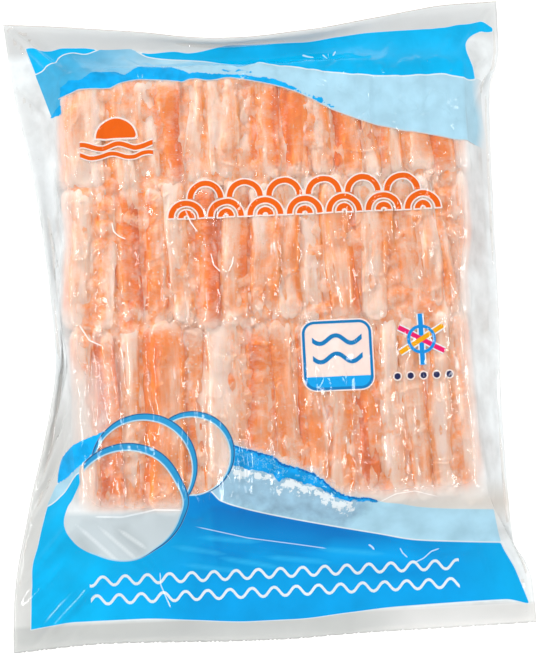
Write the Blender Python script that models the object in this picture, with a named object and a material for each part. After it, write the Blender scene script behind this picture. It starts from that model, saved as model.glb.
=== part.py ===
"""A sealed, see-through pillow bag of frozen crab leg meat, lying flat with its printed face up.

The bag is one closed solid. Under the film lies a block of leg meat, two layers deep and three
rows long, whose sticks show as ribs. Around the block the two sheets of film come together into
thin, slightly wavy borders. +X runs across the rows, +Y towards the printed upper end, +Z up, and
the origin is on the table under the middle of the bag.
"""

import math

import bmesh
import bpy

MM = 0.001  # the sizes below are in millimetres, and the model is in metres

# The bag, laid flat.
BAG_WIDTH = 284.0
BAG_LENGTH = 353.0
BORDER_THICKNESS = 1.0
BORDER_LIFT = 3.0  # how far the borders stand off the table at their outer edge
BORDER_WAVE = 1.6
WAVE_LENGTH = 74.0

# How far each side of the bag is drawn in from the straight rectangle: (place along it, draw-in).
LEFT_SIDE = ((-176.5, 0), (-150, 1), (-100, 10), (-52, 22), (-20, 27), (14, 25), (82, 17), (135, 7), (176.5, 2))
RIGHT_SIDE = ((-176.5, 2), (-150, 3), (-128, 12), (-60, 13), (0, 11), (100, 9), (128, 7), (144, 1), (176.5, 0))
LOWER_END = ((-142, 0), (-96, 2.5), (0, 0.5), (60, 2), (142, 3))
UPPER_END = ((-142, 2), (-100, 6), (-60, 10), (-14, 15.5), (30, 13), (70, 7), (110, 2), (142, 0))

# The block of leg meat inside.
BLOCK_HEIGHT = 25.0
BLOCK_LEFT = -107.0
BLOCK_RIGHT = 117.0
SHOULDER = 13.0  # how far outside the block the film meets the border
GROOVE = 2.6  # depth of the valley between two sticks
ROW_DIP = 4.5  # depth of the valley between two rows
STICK_TIP = 11.0  # length of a stick's rounded end
UNEVENNESS = 1.1  # how much taller or lower one stick lies than another

# Where the rows of sticks begin and end along Y, and the width of each stick from left to right.
ROW_EDGES = (-108.0, -6.0, 72.0, 138.0)
STICK_WIDTHS = (
    (11, 13, 13, 23, 10, 21, 16, 12, 15, 16, 15, 15, 16, 13),
    (16, 13, 14, 13, 13, 16, 15, 17, 12, 12, 18, 20, 14, 11, 8, 8),
    (24, 15, 14, 14, 11, 17, 12, 13, 14, 14, 16, 8, 7, 9, 15, 12, 8),
)

# Cells of the surface: across a side border and the block, and along the borders and each row.
CELLS_ACROSS = (4, 68, 4)
CELLS_ALONG = (6, 8, 6, 6, 4)

FILM_COLOUR = (0.86, 0.62, 0.47, 1.0)
FILM_ROUGHNESS = 0.28


def smooth_step(t):
    """Ease t from 0 to 1, flat at both ends."""
    t = min(max(t, 0.0), 1.0)
    return t * t * (3.0 - 2.0 * t)


def monotone_slopes(points):
    """Slope at each point of a curve that never swings past its points."""
    steps = [(b[1] - a[1]) / (b[0] - a[0]) for a, b in zip(points, points[1:])]
    slopes = [steps[0]]
    for before, after in zip(steps, steps[1:]):
        turns = before * after <= 0
        slopes.append(0.0 if turns else 2.0 * before * after / (before + after))
    return slopes + [steps[-1]]


def smooth_through(points, at):
    """Read the smooth curve through points at one place along it."""
    slopes = monotone_slopes(points)
    at = min(max(at, points[0][0]), points[-1][0])
    i = next(k for k in range(len(points) - 1) if at <= points[k + 1][0])
    (start, low), (end, high) = points[i], points[i + 1]
    span = end - start
    t = (at - start) / span
    ease = smooth_step(t)
    lead_in = span * slopes[i] * t * (1 - t) ** 2
    lead_out = span * slopes[i + 1] * t * t * (t - 1)
    return low + (high - low) * ease + lead_in + lead_out


def stations(breaks, cells):
    """Grid lines that split each stretch between two breaks into its number of equal cells."""
    lines = [breaks[0]]
    for start, end, count in zip(breaks, breaks[1:], cells):
        lines += [start + (end - start) * k / count for k in range(1, count + 1)]
    return lines


def sheet_place(across, along):
    """Move a point of the straight rectangle to where the drawn-in bag has it."""
    half_width, half_length = BAG_WIDTH / 2, BAG_LENGTH / 2
    x, y = across, along
    if across < BLOCK_LEFT:
        share = (BLOCK_LEFT - across) / (BLOCK_LEFT + half_width)
        x += share * smooth_through(LEFT_SIDE, along)
    if across > BLOCK_RIGHT:
        share = (across - BLOCK_RIGHT) / (half_width - BLOCK_RIGHT)
        x -= share * smooth_through(RIGHT_SIDE, along)
    if along < ROW_EDGES[0]:
        share = (ROW_EDGES[0] - along) / (ROW_EDGES[0] + half_length)
        y += share * smooth_through(LOWER_END, across)
    if along > ROW_EDGES[-1]:
        share = (along - ROW_EDGES[-1]) / (half_length - ROW_EDGES[-1])
        y -= share * smooth_through(UPPER_END, across)
    return x, y


def beyond_block(across, along):
    """How far the film has come down beside the block: 0 over it, 1 where the border begins."""
    x, y = sheet_place(across, along)
    left_edge = sheet_place(-BAG_WIDTH / 2, along)[0]
    right_edge = sheet_place(BAG_WIDTH / 2, along)[0]
    left_reach = min(SHOULDER, 0.85 * (BLOCK_LEFT - left_edge))
    right_reach = min(SHOULDER, 0.85 * (right_edge - BLOCK_RIGHT))
    side = max((BLOCK_LEFT - x) / left_reach, (x - BLOCK_RIGHT) / right_reach, 0.0)
    end = max((ROW_EDGES[0] - y) / SHOULDER, (y - ROW_EDGES[-1]) / SHOULDER, 0.0)
    return math.hypot(side, end)


def stick_at(row, x):
    """Number of the stick under x in a row, and how far x is from its crest, from -1 to 1."""
    left = BLOCK_LEFT
    for number, width in enumerate(STICK_WIDTHS[row]):
        if x <= left + width:
            return number, 2.0 * (x - left) / width - 1.0
        left += width
    return len(STICK_WIDTHS[row]), 1.0


def block_top(x, y):
    """Height of the film over the sticks of leg meat."""
    row = next((r for r in range(len(STICK_WIDTHS)) if y <= ROW_EDGES[r + 1]), len(STICK_WIDTHS) - 1)
    number, off_crest = stick_at(row, min(max(x, BLOCK_LEFT), BLOCK_RIGHT))
    to_end = max(min(y - ROW_EDGES[row], ROW_EDGES[row + 1] - y), 0.0)
    tip = 1.0 - min(to_end / STICK_TIP, 1.0)
    crest = 1.0 - off_crest**2
    lie = UNEVENNESS * math.sin(2.4 * number + 1.7 * row)
    return BLOCK_HEIGHT - GROOVE + (GROOVE + lie) * crest - ROW_DIP * tip**2


def underside(x, y, beyond):
    """Height of the lower film: flat under the block, lifted and wavy in the borders."""
    wave = BORDER_WAVE * math.sin(2 * math.pi * (x + 0.6 * y) / WAVE_LENGTH)
    return (BORDER_LIFT + wave) * smooth_step((beyond - 0.3) / 2.0)


def shape_point(point):
    """Move one vertex of the straight slab to its place on the bag."""
    across, along, is_top = point.x, point.y, point.z > 0
    x, y = sheet_place(across, along)
    beyond = beyond_block(across, along)
    z = underside(x, y, beyond)
    if is_top:
        share = 1.0 - smooth_step(beyond)
        z += BORDER_THICKNESS + share * (block_top(x, y) - BORDER_THICKNESS)
    point.xyz = (x * MM, y * MM, z * MM)


def cut_at(slab, lines, axis):
    """Cut the slab right through at every inner grid line, square to one axis."""
    normal = [0.0, 0.0, 0.0]
    normal[axis] = 1.0
    for line in lines[1:-1]:
        geometry = slab.verts[:] + slab.edges[:] + slab.faces[:]
        place = [value * line for value in normal]
        bmesh.ops.bisect_plane(slab, geom=geometry, dist=0.0001, plane_co=place, plane_no=normal)


def film_material():
    """Clear film over pale pink and orange meat, as one plain colour."""
    material = bpy.data.materials.new("sealed_pack")
    material.use_nodes = True
    shader = material.node_tree.nodes["Principled BSDF"]
    shader.inputs["Base Color"].default_value = FILM_COLOUR
    shader.inputs["Roughness"].default_value = FILM_ROUGHNESS
    shader.inputs["Metallic"].default_value = 0.0
    return material


def sealed_pack(collection):
    """Build the bag as one closed solid."""
    half_width, half_length = BAG_WIDTH / 2, BAG_LENGTH / 2
    slab = bmesh.new()
    bmesh.ops.create_cube(slab, size=1.0)
    bmesh.ops.scale(slab, vec=(BAG_WIDTH, BAG_LENGTH, 1.0), verts=slab.verts)
    cut_at(slab, stations((-half_width, BLOCK_LEFT, BLOCK_RIGHT, half_width), CELLS_ACROSS), 0)
    cut_at(slab, stations((-half_length, *ROW_EDGES, half_length), CELLS_ALONG), 1)
    for vertex in slab.verts:
        shape_point(vertex.co)
    bmesh.ops.recalc_face_normals(slab, faces=slab.faces)
    mesh = bpy.data.meshes.new("sealed_pack")
    slab.to_mesh(mesh)
    slab.free()
    mesh.shade_smooth()
    mesh.set_sharp_from_angle(angle=math.radians(60))
    mesh.materials.append(film_material())
    pack = bpy.data.objects.new("sealed_pack", mesh)
    collection.objects.link(pack)
    return pack


def main():
    """Clear the scene and build the bag in its own collection."""
    for thing in list(bpy.data.objects):
        bpy.data.objects.remove(thing)
    collection = bpy.data.collections.new("crab_leg_meat_pack")
    bpy.context.scene.collection.children.link(collection)
    sealed_pack(collection)


main()
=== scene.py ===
"""Looks of a sealed pack of frozen crab leg meat: sticks of meat, ice, and printed clear film.

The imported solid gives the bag's outline and box. Inside it lie two layers of meat sticks in three
rows, with frost between them. A thin film is draped over them by a small cloth solver, and is
sealed all round to the back film. Sizes are in millimetres until a mesh is made.
"""

import logging
import math
from dataclasses import dataclass, field, replace
from enum import Enum
from typing import Any, Sequence

import bpy
import numpy as np
from bpy.types import Material, Mesh, Node, NodeSocket, NodeTree, Object
from mathutils import Matrix, Vector
from mathutils.bvhtree import BVHTree

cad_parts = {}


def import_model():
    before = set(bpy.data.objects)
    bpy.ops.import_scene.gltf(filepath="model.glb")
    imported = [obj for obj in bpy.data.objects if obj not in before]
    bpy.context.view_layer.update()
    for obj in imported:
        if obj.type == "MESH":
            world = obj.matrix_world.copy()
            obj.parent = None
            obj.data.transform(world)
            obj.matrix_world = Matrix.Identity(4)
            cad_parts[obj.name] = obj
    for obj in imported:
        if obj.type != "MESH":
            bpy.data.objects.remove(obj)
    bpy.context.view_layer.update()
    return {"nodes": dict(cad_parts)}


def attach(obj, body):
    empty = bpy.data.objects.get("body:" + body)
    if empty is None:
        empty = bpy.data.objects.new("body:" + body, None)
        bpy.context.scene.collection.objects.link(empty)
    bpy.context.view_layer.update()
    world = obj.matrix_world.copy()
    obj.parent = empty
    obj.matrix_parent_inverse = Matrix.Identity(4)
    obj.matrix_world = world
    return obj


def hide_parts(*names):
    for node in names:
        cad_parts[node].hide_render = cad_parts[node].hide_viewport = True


LOG = logging.getLogger("crab_leg_meat_pack")
MM = 0.001
NODE = "sealed_pack"
BODY = "root"
PHOTO_HEIGHT = 657  # pixels

Array = np.ndarray
Curve = Sequence[tuple[float, float]]
Waves = tuple[tuple[float, ...], tuple[float, ...]]  # the lengths of a ripple's waves and their heights


# ---- Small tools ----


def linear(code: str) -> tuple[float, float, float, float]:
    """Turn an sRGB hex colour into the linear colour that shaders take.

    Args:
        code: six hex digits, such as "f2c8b0".

    Returns:
        Red, green, blue and an alpha of one.
    """
    parts = [int(code[i : i + 2], 16) / 255 for i in (0, 2, 4)]
    bent = [c / 12.92 if c <= 0.04045 else ((c + 0.055) / 1.055) ** 2.4 for c in parts]
    return (bent[0], bent[1], bent[2], 1.0)


def add_node(tree: NodeTree, kind: str, inputs: dict[Any, Any] | None = None, **settings: Any) -> Node:
    """Add a shader node with its settings, and set or link its inputs.

    Args:
        tree: the node tree that gets the node.
        kind: the node's type name, without the ShaderNode that they all start with.
        inputs: for each input, by name or number: a value, a socket, or a node for its first output.
        settings: properties of the node itself.

    Returns:
        The new node.
    """
    node = tree.nodes.new(f"ShaderNode{kind}")
    for name, value in settings.items():
        setattr(node, name, value)
    for name, value in (inputs or {}).items():
        if isinstance(value, Node):
            value = value.outputs[0]
        if isinstance(value, NodeSocket):
            tree.links.new(value, node.inputs[name])
        else:
            node.inputs[name].default_value = value
    return node


def start_material(name: str, plain: dict[str, Any]) -> tuple[Material, Node]:
    """Make a material, and set what is the same all over its surface.

    Args:
        name: the material's name.
        plain: the value of each shader input that doesn't vary.

    Returns:
        The material and its shader.
    """
    material = bpy.data.materials.new(name)
    material.use_nodes = True
    shader = material.node_tree.nodes["Principled BSDF"]
    for socket, value in plain.items():
        shader.inputs[socket].default_value = value
    return material, shader


def ease(t: Array) -> Array:
    """Ease values from 0 to 1, flat at both ends."""
    t = np.clip(t, 0.0, 1.0)
    return t * t * (3.0 - 2.0 * t)


def smooth_curve(points: Curve, at: Array) -> Array:
    """Read the smooth curve through a few points, without swinging past any of them.

    Args:
        points: (place, value) pairs in rising order of place.
        at: the places to read.

    Returns:
        The value at each place, level beyond both ends.
    """
    x, y = np.array(points, float).T
    step = np.diff(y) / np.diff(x)
    before, after = step[:-1], step[1:]
    with np.errstate(divide="ignore", invalid="ignore"):
        inner = np.where(before * after > 0, 2 * before * after / (before + after), 0.0)
    slope = np.concatenate([step[:1], inner, step[-1:]])
    at = np.clip(at, x[0], x[-1])
    i = np.clip(np.searchsorted(x, at, side="right") - 1, 0, len(x) - 2)
    span = x[i + 1] - x[i]
    t = (at - x[i]) / span
    lead = span * (slope[i] * t * (1 - t) ** 2 + slope[i + 1] * t * t * (t - 1))
    return y[i] + (y[i + 1] - y[i]) * ease(t) + lead


def blur(values: Array, rounds: int) -> None:
    """Even out an array in place. Its outermost values stay.

    Args:
        values: numbers along a line, or a raster of them.
        rounds: how many times each is averaged with its neighbours.
    """
    for _ in range(rounds):
        values[1:-1] = (values[:-2] + 2 * values[1:-1] + values[2:]) / 4
        if values.ndim > 1:
            values[:, 1:-1] = (values[:, :-2] + 2 * values[:, 1:-1] + values[:, 2:]) / 4


def direction(bearing: float, elevation: float) -> Vector:
    """Point away from the pack: degrees round from +X towards +Y, and degrees up from the table."""
    turn, rise = math.radians(bearing), math.radians(elevation)
    return Vector((math.cos(rise) * math.cos(turn), math.cos(rise) * math.sin(turn), math.sin(rise)))


@dataclass
class Ripple:
    """Smooth seeded noise: a sum of sine waves that run in random directions."""

    seed: int
    lengths: tuple[float, ...]
    heights: tuple[float, ...]
    waves_each: int = 4

    def at(self, x: Array, y: Array) -> Array:
        """Read the noise.

        Args:
            x: first coordinate of each place.
            y: second coordinate of each place.

        Returns:
            The height at each place.
        """
        dice = np.random.default_rng(self.seed)
        total = np.zeros(np.broadcast(x, y).shape)
        for length, height in zip(self.lengths, self.heights):
            for _ in range(self.waves_each):
                turn, phase = dice.uniform(0, 2 * np.pi, 2)
                pitch = 2 * np.pi / (length * dice.uniform(0.7, 1.4))
                along = x * np.cos(turn) + y * np.sin(turn)
                total += height / math.sqrt(self.waves_each) * np.sin(pitch * along + phase)
        return total


def mesh_points(mesh: Mesh) -> Array:
    """Read where a mesh's vertices are.

    Args:
        mesh: the mesh.

    Returns:
        One row of x, y and z for each vertex.
    """
    flat = np.zeros(len(mesh.vertices) * 3)
    mesh.vertices.foreach_get("co", flat)
    return flat.reshape(-1, 3)


def place_points(mesh: Mesh, points: Array) -> None:
    """Move a mesh's vertices to the rows of an array."""
    mesh.vertices.foreach_set("co", np.ascontiguousarray(points, float).ravel())
    mesh.update()


def store(mesh: Mesh, name: str, values: Array) -> None:
    """Keep one number for each vertex as an attribute that materials can read."""
    layer = mesh.attributes.new(name, "FLOAT", "POINT")
    layer.data.foreach_set("value", np.ascontiguousarray(values, float).ravel())


def store_vector(mesh: Mesh, name: str, values: Array) -> None:
    """Keep one vector for each vertex as an attribute that materials can read."""
    layer = mesh.attributes.new(name, "FLOAT_VECTOR", "POINT")
    layer.data.foreach_set("vector", np.ascontiguousarray(values, float).ravel())


def deselect() -> None:
    """Deselect everything, so that an operator acts only on what is added next."""
    for thing in bpy.context.selected_objects:
        thing.select_set(False)


def join(things: list[Object], name: str) -> Object:
    """Join objects into the first of them and name it.

    Args:
        things: the objects, at least one.
        name: name of the joined piece and its mesh.

    Returns:
        The joined piece.
    """
    deselect()
    for thing in things:
        thing.select_set(True)
    bpy.context.view_layer.objects.active = things[0]
    bpy.ops.object.join()
    piece = bpy.context.view_layer.objects.active
    piece.name = piece.data.name = name
    return piece


def copy_of(master: Object, name: str) -> Object:
    """Add a copy of a master shape that has its own mesh.

    Args:
        master: the shape.
        name: the copy's name.

    Returns:
        The copy.
    """
    twin = bpy.data.objects.new(name, master.data.copy())
    bpy.context.scene.collection.objects.link(twin)
    return twin


def finish_piece(piece: Object, material: Material | None = None) -> None:
    """Shade a piece smooth, dress it and tie it to the pack.

    Args:
        piece: the finished mesh.
        material: its one material, where it doesn't have its materials yet.
    """
    piece.data.shade_smooth()
    if material is not None:
        piece.data.materials.clear()
        piece.data.materials.append(material)
    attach(piece, BODY)
    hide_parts(NODE)
    LOG.info("%s: %d triangles", piece.name, sum(len(p.vertices) - 2 for p in piece.data.polygons))


# ---- Finishes ----


@dataclass(frozen=True)
class Grain:
    """One scale of noise in the meat: how fine and how drawn out it is, and how much pigment it moves."""

    density: float  # features to a millimetre
    squash: float  # density along the stick, as a share of that across it
    detail: float
    weight: float
    roughness: float = 0.5


@dataclass(frozen=True)
class LegMeatFinish:
    """Frozen cooked crab leg meat: pale muscle fibres with orange skin pigment along the flanks.

    The fibres give fine streaks along each stick, the pigment the peach to orange bands, and the
    ice glaze a wet gloss with whitish frost patches and specks.
    """

    name: str = "frozen_crab_leg_meat"
    pigments: tuple[tuple[float, str], ...] = (
        (0.02, "fbe5da"),
        (0.20, "fad9c4"),
        (0.42, "f9b688"),
        (0.64, "fa9a3c"),
        (0.92, "f58420"),
        (1.25, "e47014"),
    )
    frost: str = "f6e6dc"
    bands: Grain = Grain(0.24, 0.10, 3.0, 0.82)
    streaks: Grain = Grain(0.5, 0.10, 2.0, 0.42)
    blotches: Grain = Grain(1 / 13, 0.35, 4.0, 0.85)
    fibres: Grain = Grain(1.0, 0.10, 4.0, 0.26)
    grit: Grain = Grain(0.9, 1.0, 5.0, 0.18, 0.7)
    frost_size: float = 5.0
    frost_cover: float = 0.76
    speck_size: float = 1.5
    speck_rarity: float = 0.86
    relief_depth: float = 0.35
    wet_roughness: float = 0.34
    frosted_roughness: float = 0.60

    def make(self) -> Material:
        """Build the material.

        Returns:
            The material, which reads the attributes grain, pigment and frost.
        """
        material, shader = start_material(self.name, {
            "Subsurface Weight": 0.25,
            "Subsurface Radius": (2.4, 1.6, 1.0),
            "Subsurface Scale": MM,
            "IOR": 1.36,
        })
        tree = material.node_tree
        grain = add_node(tree, "Attribute", attribute_name="grain").outputs["Vector"]
        depth = add_node(tree, "Attribute", attribute_name="pigment").outputs["Fac"]
        noises = {}
        for kind in (self.bands, self.streaks, self.blotches, self.fibres, self.grit):
            drawn_out = add_node(tree, "Mapping", {0: grain, 3: (1.0, kind.squash, 1.0)})
            noises[kind] = add_node(tree, "TexNoise", {
                "Vector": drawn_out,
                "Scale": kind.density,
                "Detail": kind.detail,
                "Roughness": kind.roughness,
            })
            centred = add_node(tree, "Math", {0: noises[kind], 1: 0.5}, operation="SUBTRACT")
            depth = add_node(tree, "Math", {0: centred, 1: kind.weight, 2: depth}, operation="MULTIPLY_ADD")
        white = self.frost_mask(tree, grain)
        colour = add_node(
            tree, "Mix", {0: white, 6: self.pigment(tree, depth), 7: linear(self.frost)}, data_type="RGBA"
        )
        relief = add_node(
            tree, "Math", {0: noises[self.fibres], 1: 0.7, 2: noises[self.grit]}, operation="MULTIPLY_ADD"
        )
        bump = add_node(
            tree, "Bump", {"Strength": 0.5, "Distance": self.relief_depth * MM, "Height": relief}
        )
        gloss = add_node(
            tree, "MapRange", {"Value": white, 3: self.wet_roughness, 4: self.frosted_roughness}
        )
        tree.links.new(colour.outputs[2], shader.inputs["Base Color"])
        tree.links.new(gloss.outputs[0], shader.inputs["Roughness"])
        tree.links.new(bump.outputs[0], shader.inputs["Normal"])
        return material

    def pigment(self, tree: NodeTree, depth: Node) -> Node:
        """Colour the meat from pale cream to deep orange.

        Args:
            tree: the material's node tree.
            depth: how much pigment there is.

        Returns:
            The ramp of the meat's colours.
        """
        reach = self.pigments[-1][0]
        share = add_node(tree, "Math", {0: depth, 1: 1 / reach}, operation="MULTIPLY")
        ramp = add_node(tree, "ValToRGB", {"Fac": share})
        stops = ramp.color_ramp.elements
        for _ in self.pigments[2:]:
            stops.new(1.0)
        for stop, (place, colour) in zip(stops, self.pigments):
            stop.position = place / reach
            stop.color = linear(colour)
        return ramp

    def frost_mask(self, tree: NodeTree, grain: NodeSocket) -> Node:
        """Find where frost whitens the meat, in patches and rare specks.

        Args:
            tree: the material's node tree.
            grain: the place on the stick, in millimetres.

        Returns:
            How white it is.
        """
        rime = add_node(tree, "Attribute", attribute_name="frost").outputs["Fac"]
        crystals = add_node(tree, "TexNoise", {
            "Vector": grain, "Scale": 1 / self.frost_size, "Detail": 7.0, "Roughness": 0.7,
        })
        patch = add_node(tree, "Math", {0: rime, 1: 0.52, 2: crystals}, operation="MULTIPLY_ADD")
        frosted = add_node(
            tree, "MapRange", {"Value": patch, 1: 0.49, 2: 0.82, 3: 0.0, 4: self.frost_cover}
        )
        cells = add_node(tree, "TexVoronoi", {"Vector": grain, "Scale": 1 / self.speck_size})
        lit = add_node(tree, "MapRange", {"Value": cells, 1: 0.30, 2: 0.16, 3: 0.0, 4: 1.0})
        chosen = add_node(tree, "SeparateColor", {"Color": cells.outputs["Color"]})
        rare = add_node(tree, "Math", {0: chosen, 1: self.speck_rarity}, operation="GREATER_THAN")
        speck = add_node(tree, "Math", {0: lit, 1: rare}, operation="MULTIPLY")
        return add_node(tree, "Math", {0: frosted, 1: speck}, operation="MAXIMUM")


@dataclass(frozen=True)
class FrostFinish:
    """Frost and ice glaze: white where it is full of air, with a little of the meat's pink in it."""

    white: str = "edd3c2"
    pink: str = "e9b498"
    crystal_size: float = 2.5
    relief_depth: float = 0.4

    def make(self) -> Material:
        """Build the material.

        Returns:
            The material, which reads only the place on the object.
        """
        material, shader = start_material("frost_on_meat", {
            "Roughness": 0.42,
            "IOR": 1.31,
            "Subsurface Weight": 0.4,
            "Subsurface Radius": (2.0, 1.8, 1.6),
            "Subsurface Scale": MM,
        })
        tree = material.node_tree
        place = add_node(tree, "TexCoord").outputs["Object"]
        crystals = add_node(
            tree, "TexNoise", {"Vector": place, "Scale": 1 / (self.crystal_size * MM), "Detail": 5.0}
        )
        tint = add_node(
            tree, "Mix", {0: crystals, 6: linear(self.pink), 7: linear(self.white)}, data_type="RGBA"
        )
        bump = add_node(
            tree, "Bump", {"Strength": 0.7, "Distance": self.relief_depth * MM, "Height": crystals}
        )
        tree.links.new(tint.outputs[2], shader.inputs["Base Color"])
        tree.links.new(bump.outputs[0], shader.inputs["Normal"])
        return material


CRISP = 0.12  # half the width of a printed edge that isn't soft, in millimetres


@dataclass(frozen=True)
class Ink:
    """One flat colour on the front film: a filled field, or a stroke that follows a field's edge. Most are
    print; a few are painted shade and painted highlights.

    The field and what clips it are attributes that hold signed distances in millimetres, negative
    inside. A clip whose name starts with a minus sign keeps the ink outside instead.
    """

    attribute: str
    colour: str
    cover: float
    centre: float = 0.0
    half: float = 0.0
    clips: tuple[str, ...] = ()
    ragged: float = 0.0
    softness: float = CRISP
    mottle: float = 0.05
    mottle_size: float = 40.0


@dataclass(frozen=True)
class FilmFinish:
    """Laminated polyethylene pouch film, blown, glossy and slightly milky.

    Mirror gloss comes over a clear or milky sheet. On the front sheet, reverse-printed inks lie under the
    gloss, each an even field of colour with a crisp or a brushed edge; a few of them are painted shade and
    painted highlights rather than print. White highlights are also painted along creases and in dashes on
    the crests. Shares run from 0 to 1, and sizes are in millimetres.
    """

    name: str
    inks: tuple[Ink, ...] = ()
    haze: str = "cfd3d4"
    # colour of the milky film over the meat: its frost, and partly the meat's pink light painted into it
    frost_tint_and_meat_glow: str = "f3e8e1"
    # painted highlight: the white of the crease lines and of the dashes on crests
    crease_highlight_white: str = "eef2f4"
    thin_haze: float = 0.045
    loose_haze: float = 0.86
    seal_haze: float = 0.74
    rime_haze: float = 0.36
    fleck_frost_and_glint: float = 0.5
    # cover and strength of the painted highlights on creases and dashes
    crease_highlight_cover: float = 0.72
    crease_highlight_strength: float = 0.42
    light_through: float = 0.12
    ink_through: float = 0.04
    seal_width: float = 8.0
    gloss_roughness: float = 0.06
    gloss_ior: float = 1.40
    cloud_size: float = 24.0
    rime_size: float = 9.0
    fleck_size: float = 2.3
    dash_size: float = 4.2
    bristle_size: float = 3.4
    crinkle_size: float = 9.0
    ridge_size: float = 15.0
    crinkle_depth: float = 0.8

    def make(self) -> Material:
        """Build the material.

        Returns:
            The material, which reads the attributes loose, rim, crest, crease_side, crease_half and
            those that its inks name.
        """
        material = bpy.data.materials.new(self.name)
        material.use_nodes = True
        tree = material.node_tree
        tree.nodes.remove(tree.nodes["Principled BSDF"])
        place = add_node(tree, "TexCoord").outputs["Object"]
        loose = add_node(tree, "Attribute", attribute_name="loose").outputs["Fac"]
        tight = add_node(tree, "MapRange", {"Value": loose, 1: 0.2, 2: 0.7, 3: 1.0, 4: 0.0}).outputs[0]
        # The crease lines and the dashes on crests are painted highlights: white laid into the film where
        # glints on its wrinkles would be.
        line = self.crease_line(tree)
        painted_glints = self.creases(tree, place, tight, line)
        cover = self.milkiness(tree, place, loose, painted_glints)
        # Over the meat the milky film takes a warm tint: its frost, and partly the meat's pink light
        # painted in.
        colour = add_node(
            tree, "Mix", {0: loose, 6: linear(self.frost_tint_and_meat_glow), 7: linear(self.haze)}, data_type="RGBA"
        ).outputs[2]
        through = self.light_through
        if self.inks:
            colour, cover, through = self.lay_inks(tree, place, colour, cover)
            # Painted highlight: the crease lines are whitened over the inks.
            shine = add_node(tree, "Math", {0: line, 1: self.crease_highlight_strength}, operation="MULTIPLY")
            colour = add_node(
                tree, "Mix", {0: shine, 6: colour, 7: linear(self.crease_highlight_white)}, data_type="RGBA"
            ).outputs[2]
        bump = self.crinkles(tree, place, tight, painted_glints)
        lit = add_node(tree, "BsdfDiffuse", {"Color": colour, "Roughness": 0.4, "Normal": bump})
        glow = add_node(tree, "BsdfTranslucent", {"Color": colour, "Normal": bump})
        sheet = add_node(tree, "MixShader", {0: through, 1: lit, 2: glow})
        clear = add_node(tree, "BsdfTransparent", {"Color": linear("fffefd")})
        body = add_node(tree, "MixShader", {0: cover, 1: clear, 2: sheet})
        gloss = add_node(
            tree,
            "BsdfAnisotropic",
            {"Color": linear("ffffff"), "Roughness": self.gloss_roughness, "Normal": bump},
        )
        sheen = add_node(tree, "Fresnel", {"IOR": self.gloss_ior, "Normal": bump})
        surface = add_node(tree, "MixShader", {0: sheen, 1: body, 2: gloss})
        tree.links.new(surface.outputs[0], tree.nodes["Material Output"].inputs["Surface"])
        return material

    def milkiness(
        self, tree: NodeTree, place: NodeSocket, loose: NodeSocket, painted_glints: NodeSocket
    ) -> NodeSocket:
        """How much the bare film hides: where it hangs loose, in the seal, under frost and on creases.

        Args:
            tree: the film's node tree.
            place: the place on the film, in metres.
            loose: how loosely the film lies.
            painted_glints: one on a crease or dash, where white highlights are painted, and nought beside
                it.

        Returns:
            The share that it hides.
        """
        clouds = add_node(
            tree, "TexNoise", {"Vector": place, "Scale": 1 / (self.cloud_size * MM), "Detail": 4.0}
        )
        cloudy = add_node(tree, "MapRange", {"Value": clouds, 1: 0.3, 2: 0.7, 3: 0.7, 4: 1.25})
        milk = add_node(tree, "MapRange", {"Value": loose, 3: self.thin_haze, 4: self.loose_haze})
        cover = add_node(tree, "Math", {0: milk, 1: cloudy}, operation="MULTIPLY")
        rim = add_node(tree, "Attribute", attribute_name="rim").outputs["Fac"]
        seal = add_node(
            tree,
            "MapRange",
            {"Value": rim, 1: self.seal_width, 2: self.seal_width + 1, 3: self.seal_haze, 4: 0.0},
        )
        # Painted highlights: creases and dashes are whitened by more milky cover.
        white = add_node(tree, "Math", {0: painted_glints, 1: self.crease_highlight_cover}, operation="MULTIPLY")
        for more in (seal, self.rime(tree, place), white):
            cover = add_node(tree, "Math", {0: cover, 1: more}, operation="MAXIMUM")
        return cover.outputs[0]

    def crinkles(
        self, tree: NodeTree, place: NodeSocket, tight: NodeSocket, painted_glints: NodeSocket
    ) -> Node:
        """Ruffle the film: soft crinkles all over, and sharp ridges where it is pulled tight.

        Args:
            tree: the film's node tree.
            place: the place on the film, in metres.
            tight: how tightly the film lies on the contents.
            painted_glints: one on a crease or dash, where white highlights are painted, and nought beside
                it.

        Returns:
            The bump that the film's shaders share.
        """
        drawn_out = add_node(tree, "Mapping", {0: place, 3: (1.0, 0.4, 1.0)})
        soft = add_node(tree, "TexNoise", {
            "Vector": drawn_out, "Scale": 1 / (self.crinkle_size * MM), "Detail": 1.5, "Distortion": 0.6,
        })
        ridge_shape = {"Detail": 2.0, "Distortion": 0.8, "Gain": 2.0, "Offset": 1.0}
        ridges = add_node(
            tree,
            "TexNoise",
            {"Vector": place, "Scale": 1 / (self.ridge_size * MM)} | ridge_shape,
            noise_type="RIDGED_MULTIFRACTAL",
            normalize=True,
        )
        sharp = add_node(tree, "MapRange", {"Value": ridges, 1: 0.55, 2: 1.0, 3: 0.0, 4: 0.9})
        taut = add_node(tree, "Math", {0: sharp, 1: tight}, operation="MULTIPLY")
        rough = add_node(tree, "Math", {0: painted_glints, 1: 0.35, 2: taut}, operation="MULTIPLY_ADD")
        height = add_node(tree, "Math", {0: rough, 1: soft}, operation="ADD")
        return add_node(
            tree, "Bump", {"Strength": 0.4, "Distance": self.crinkle_depth * MM, "Height": height}
        )

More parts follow.
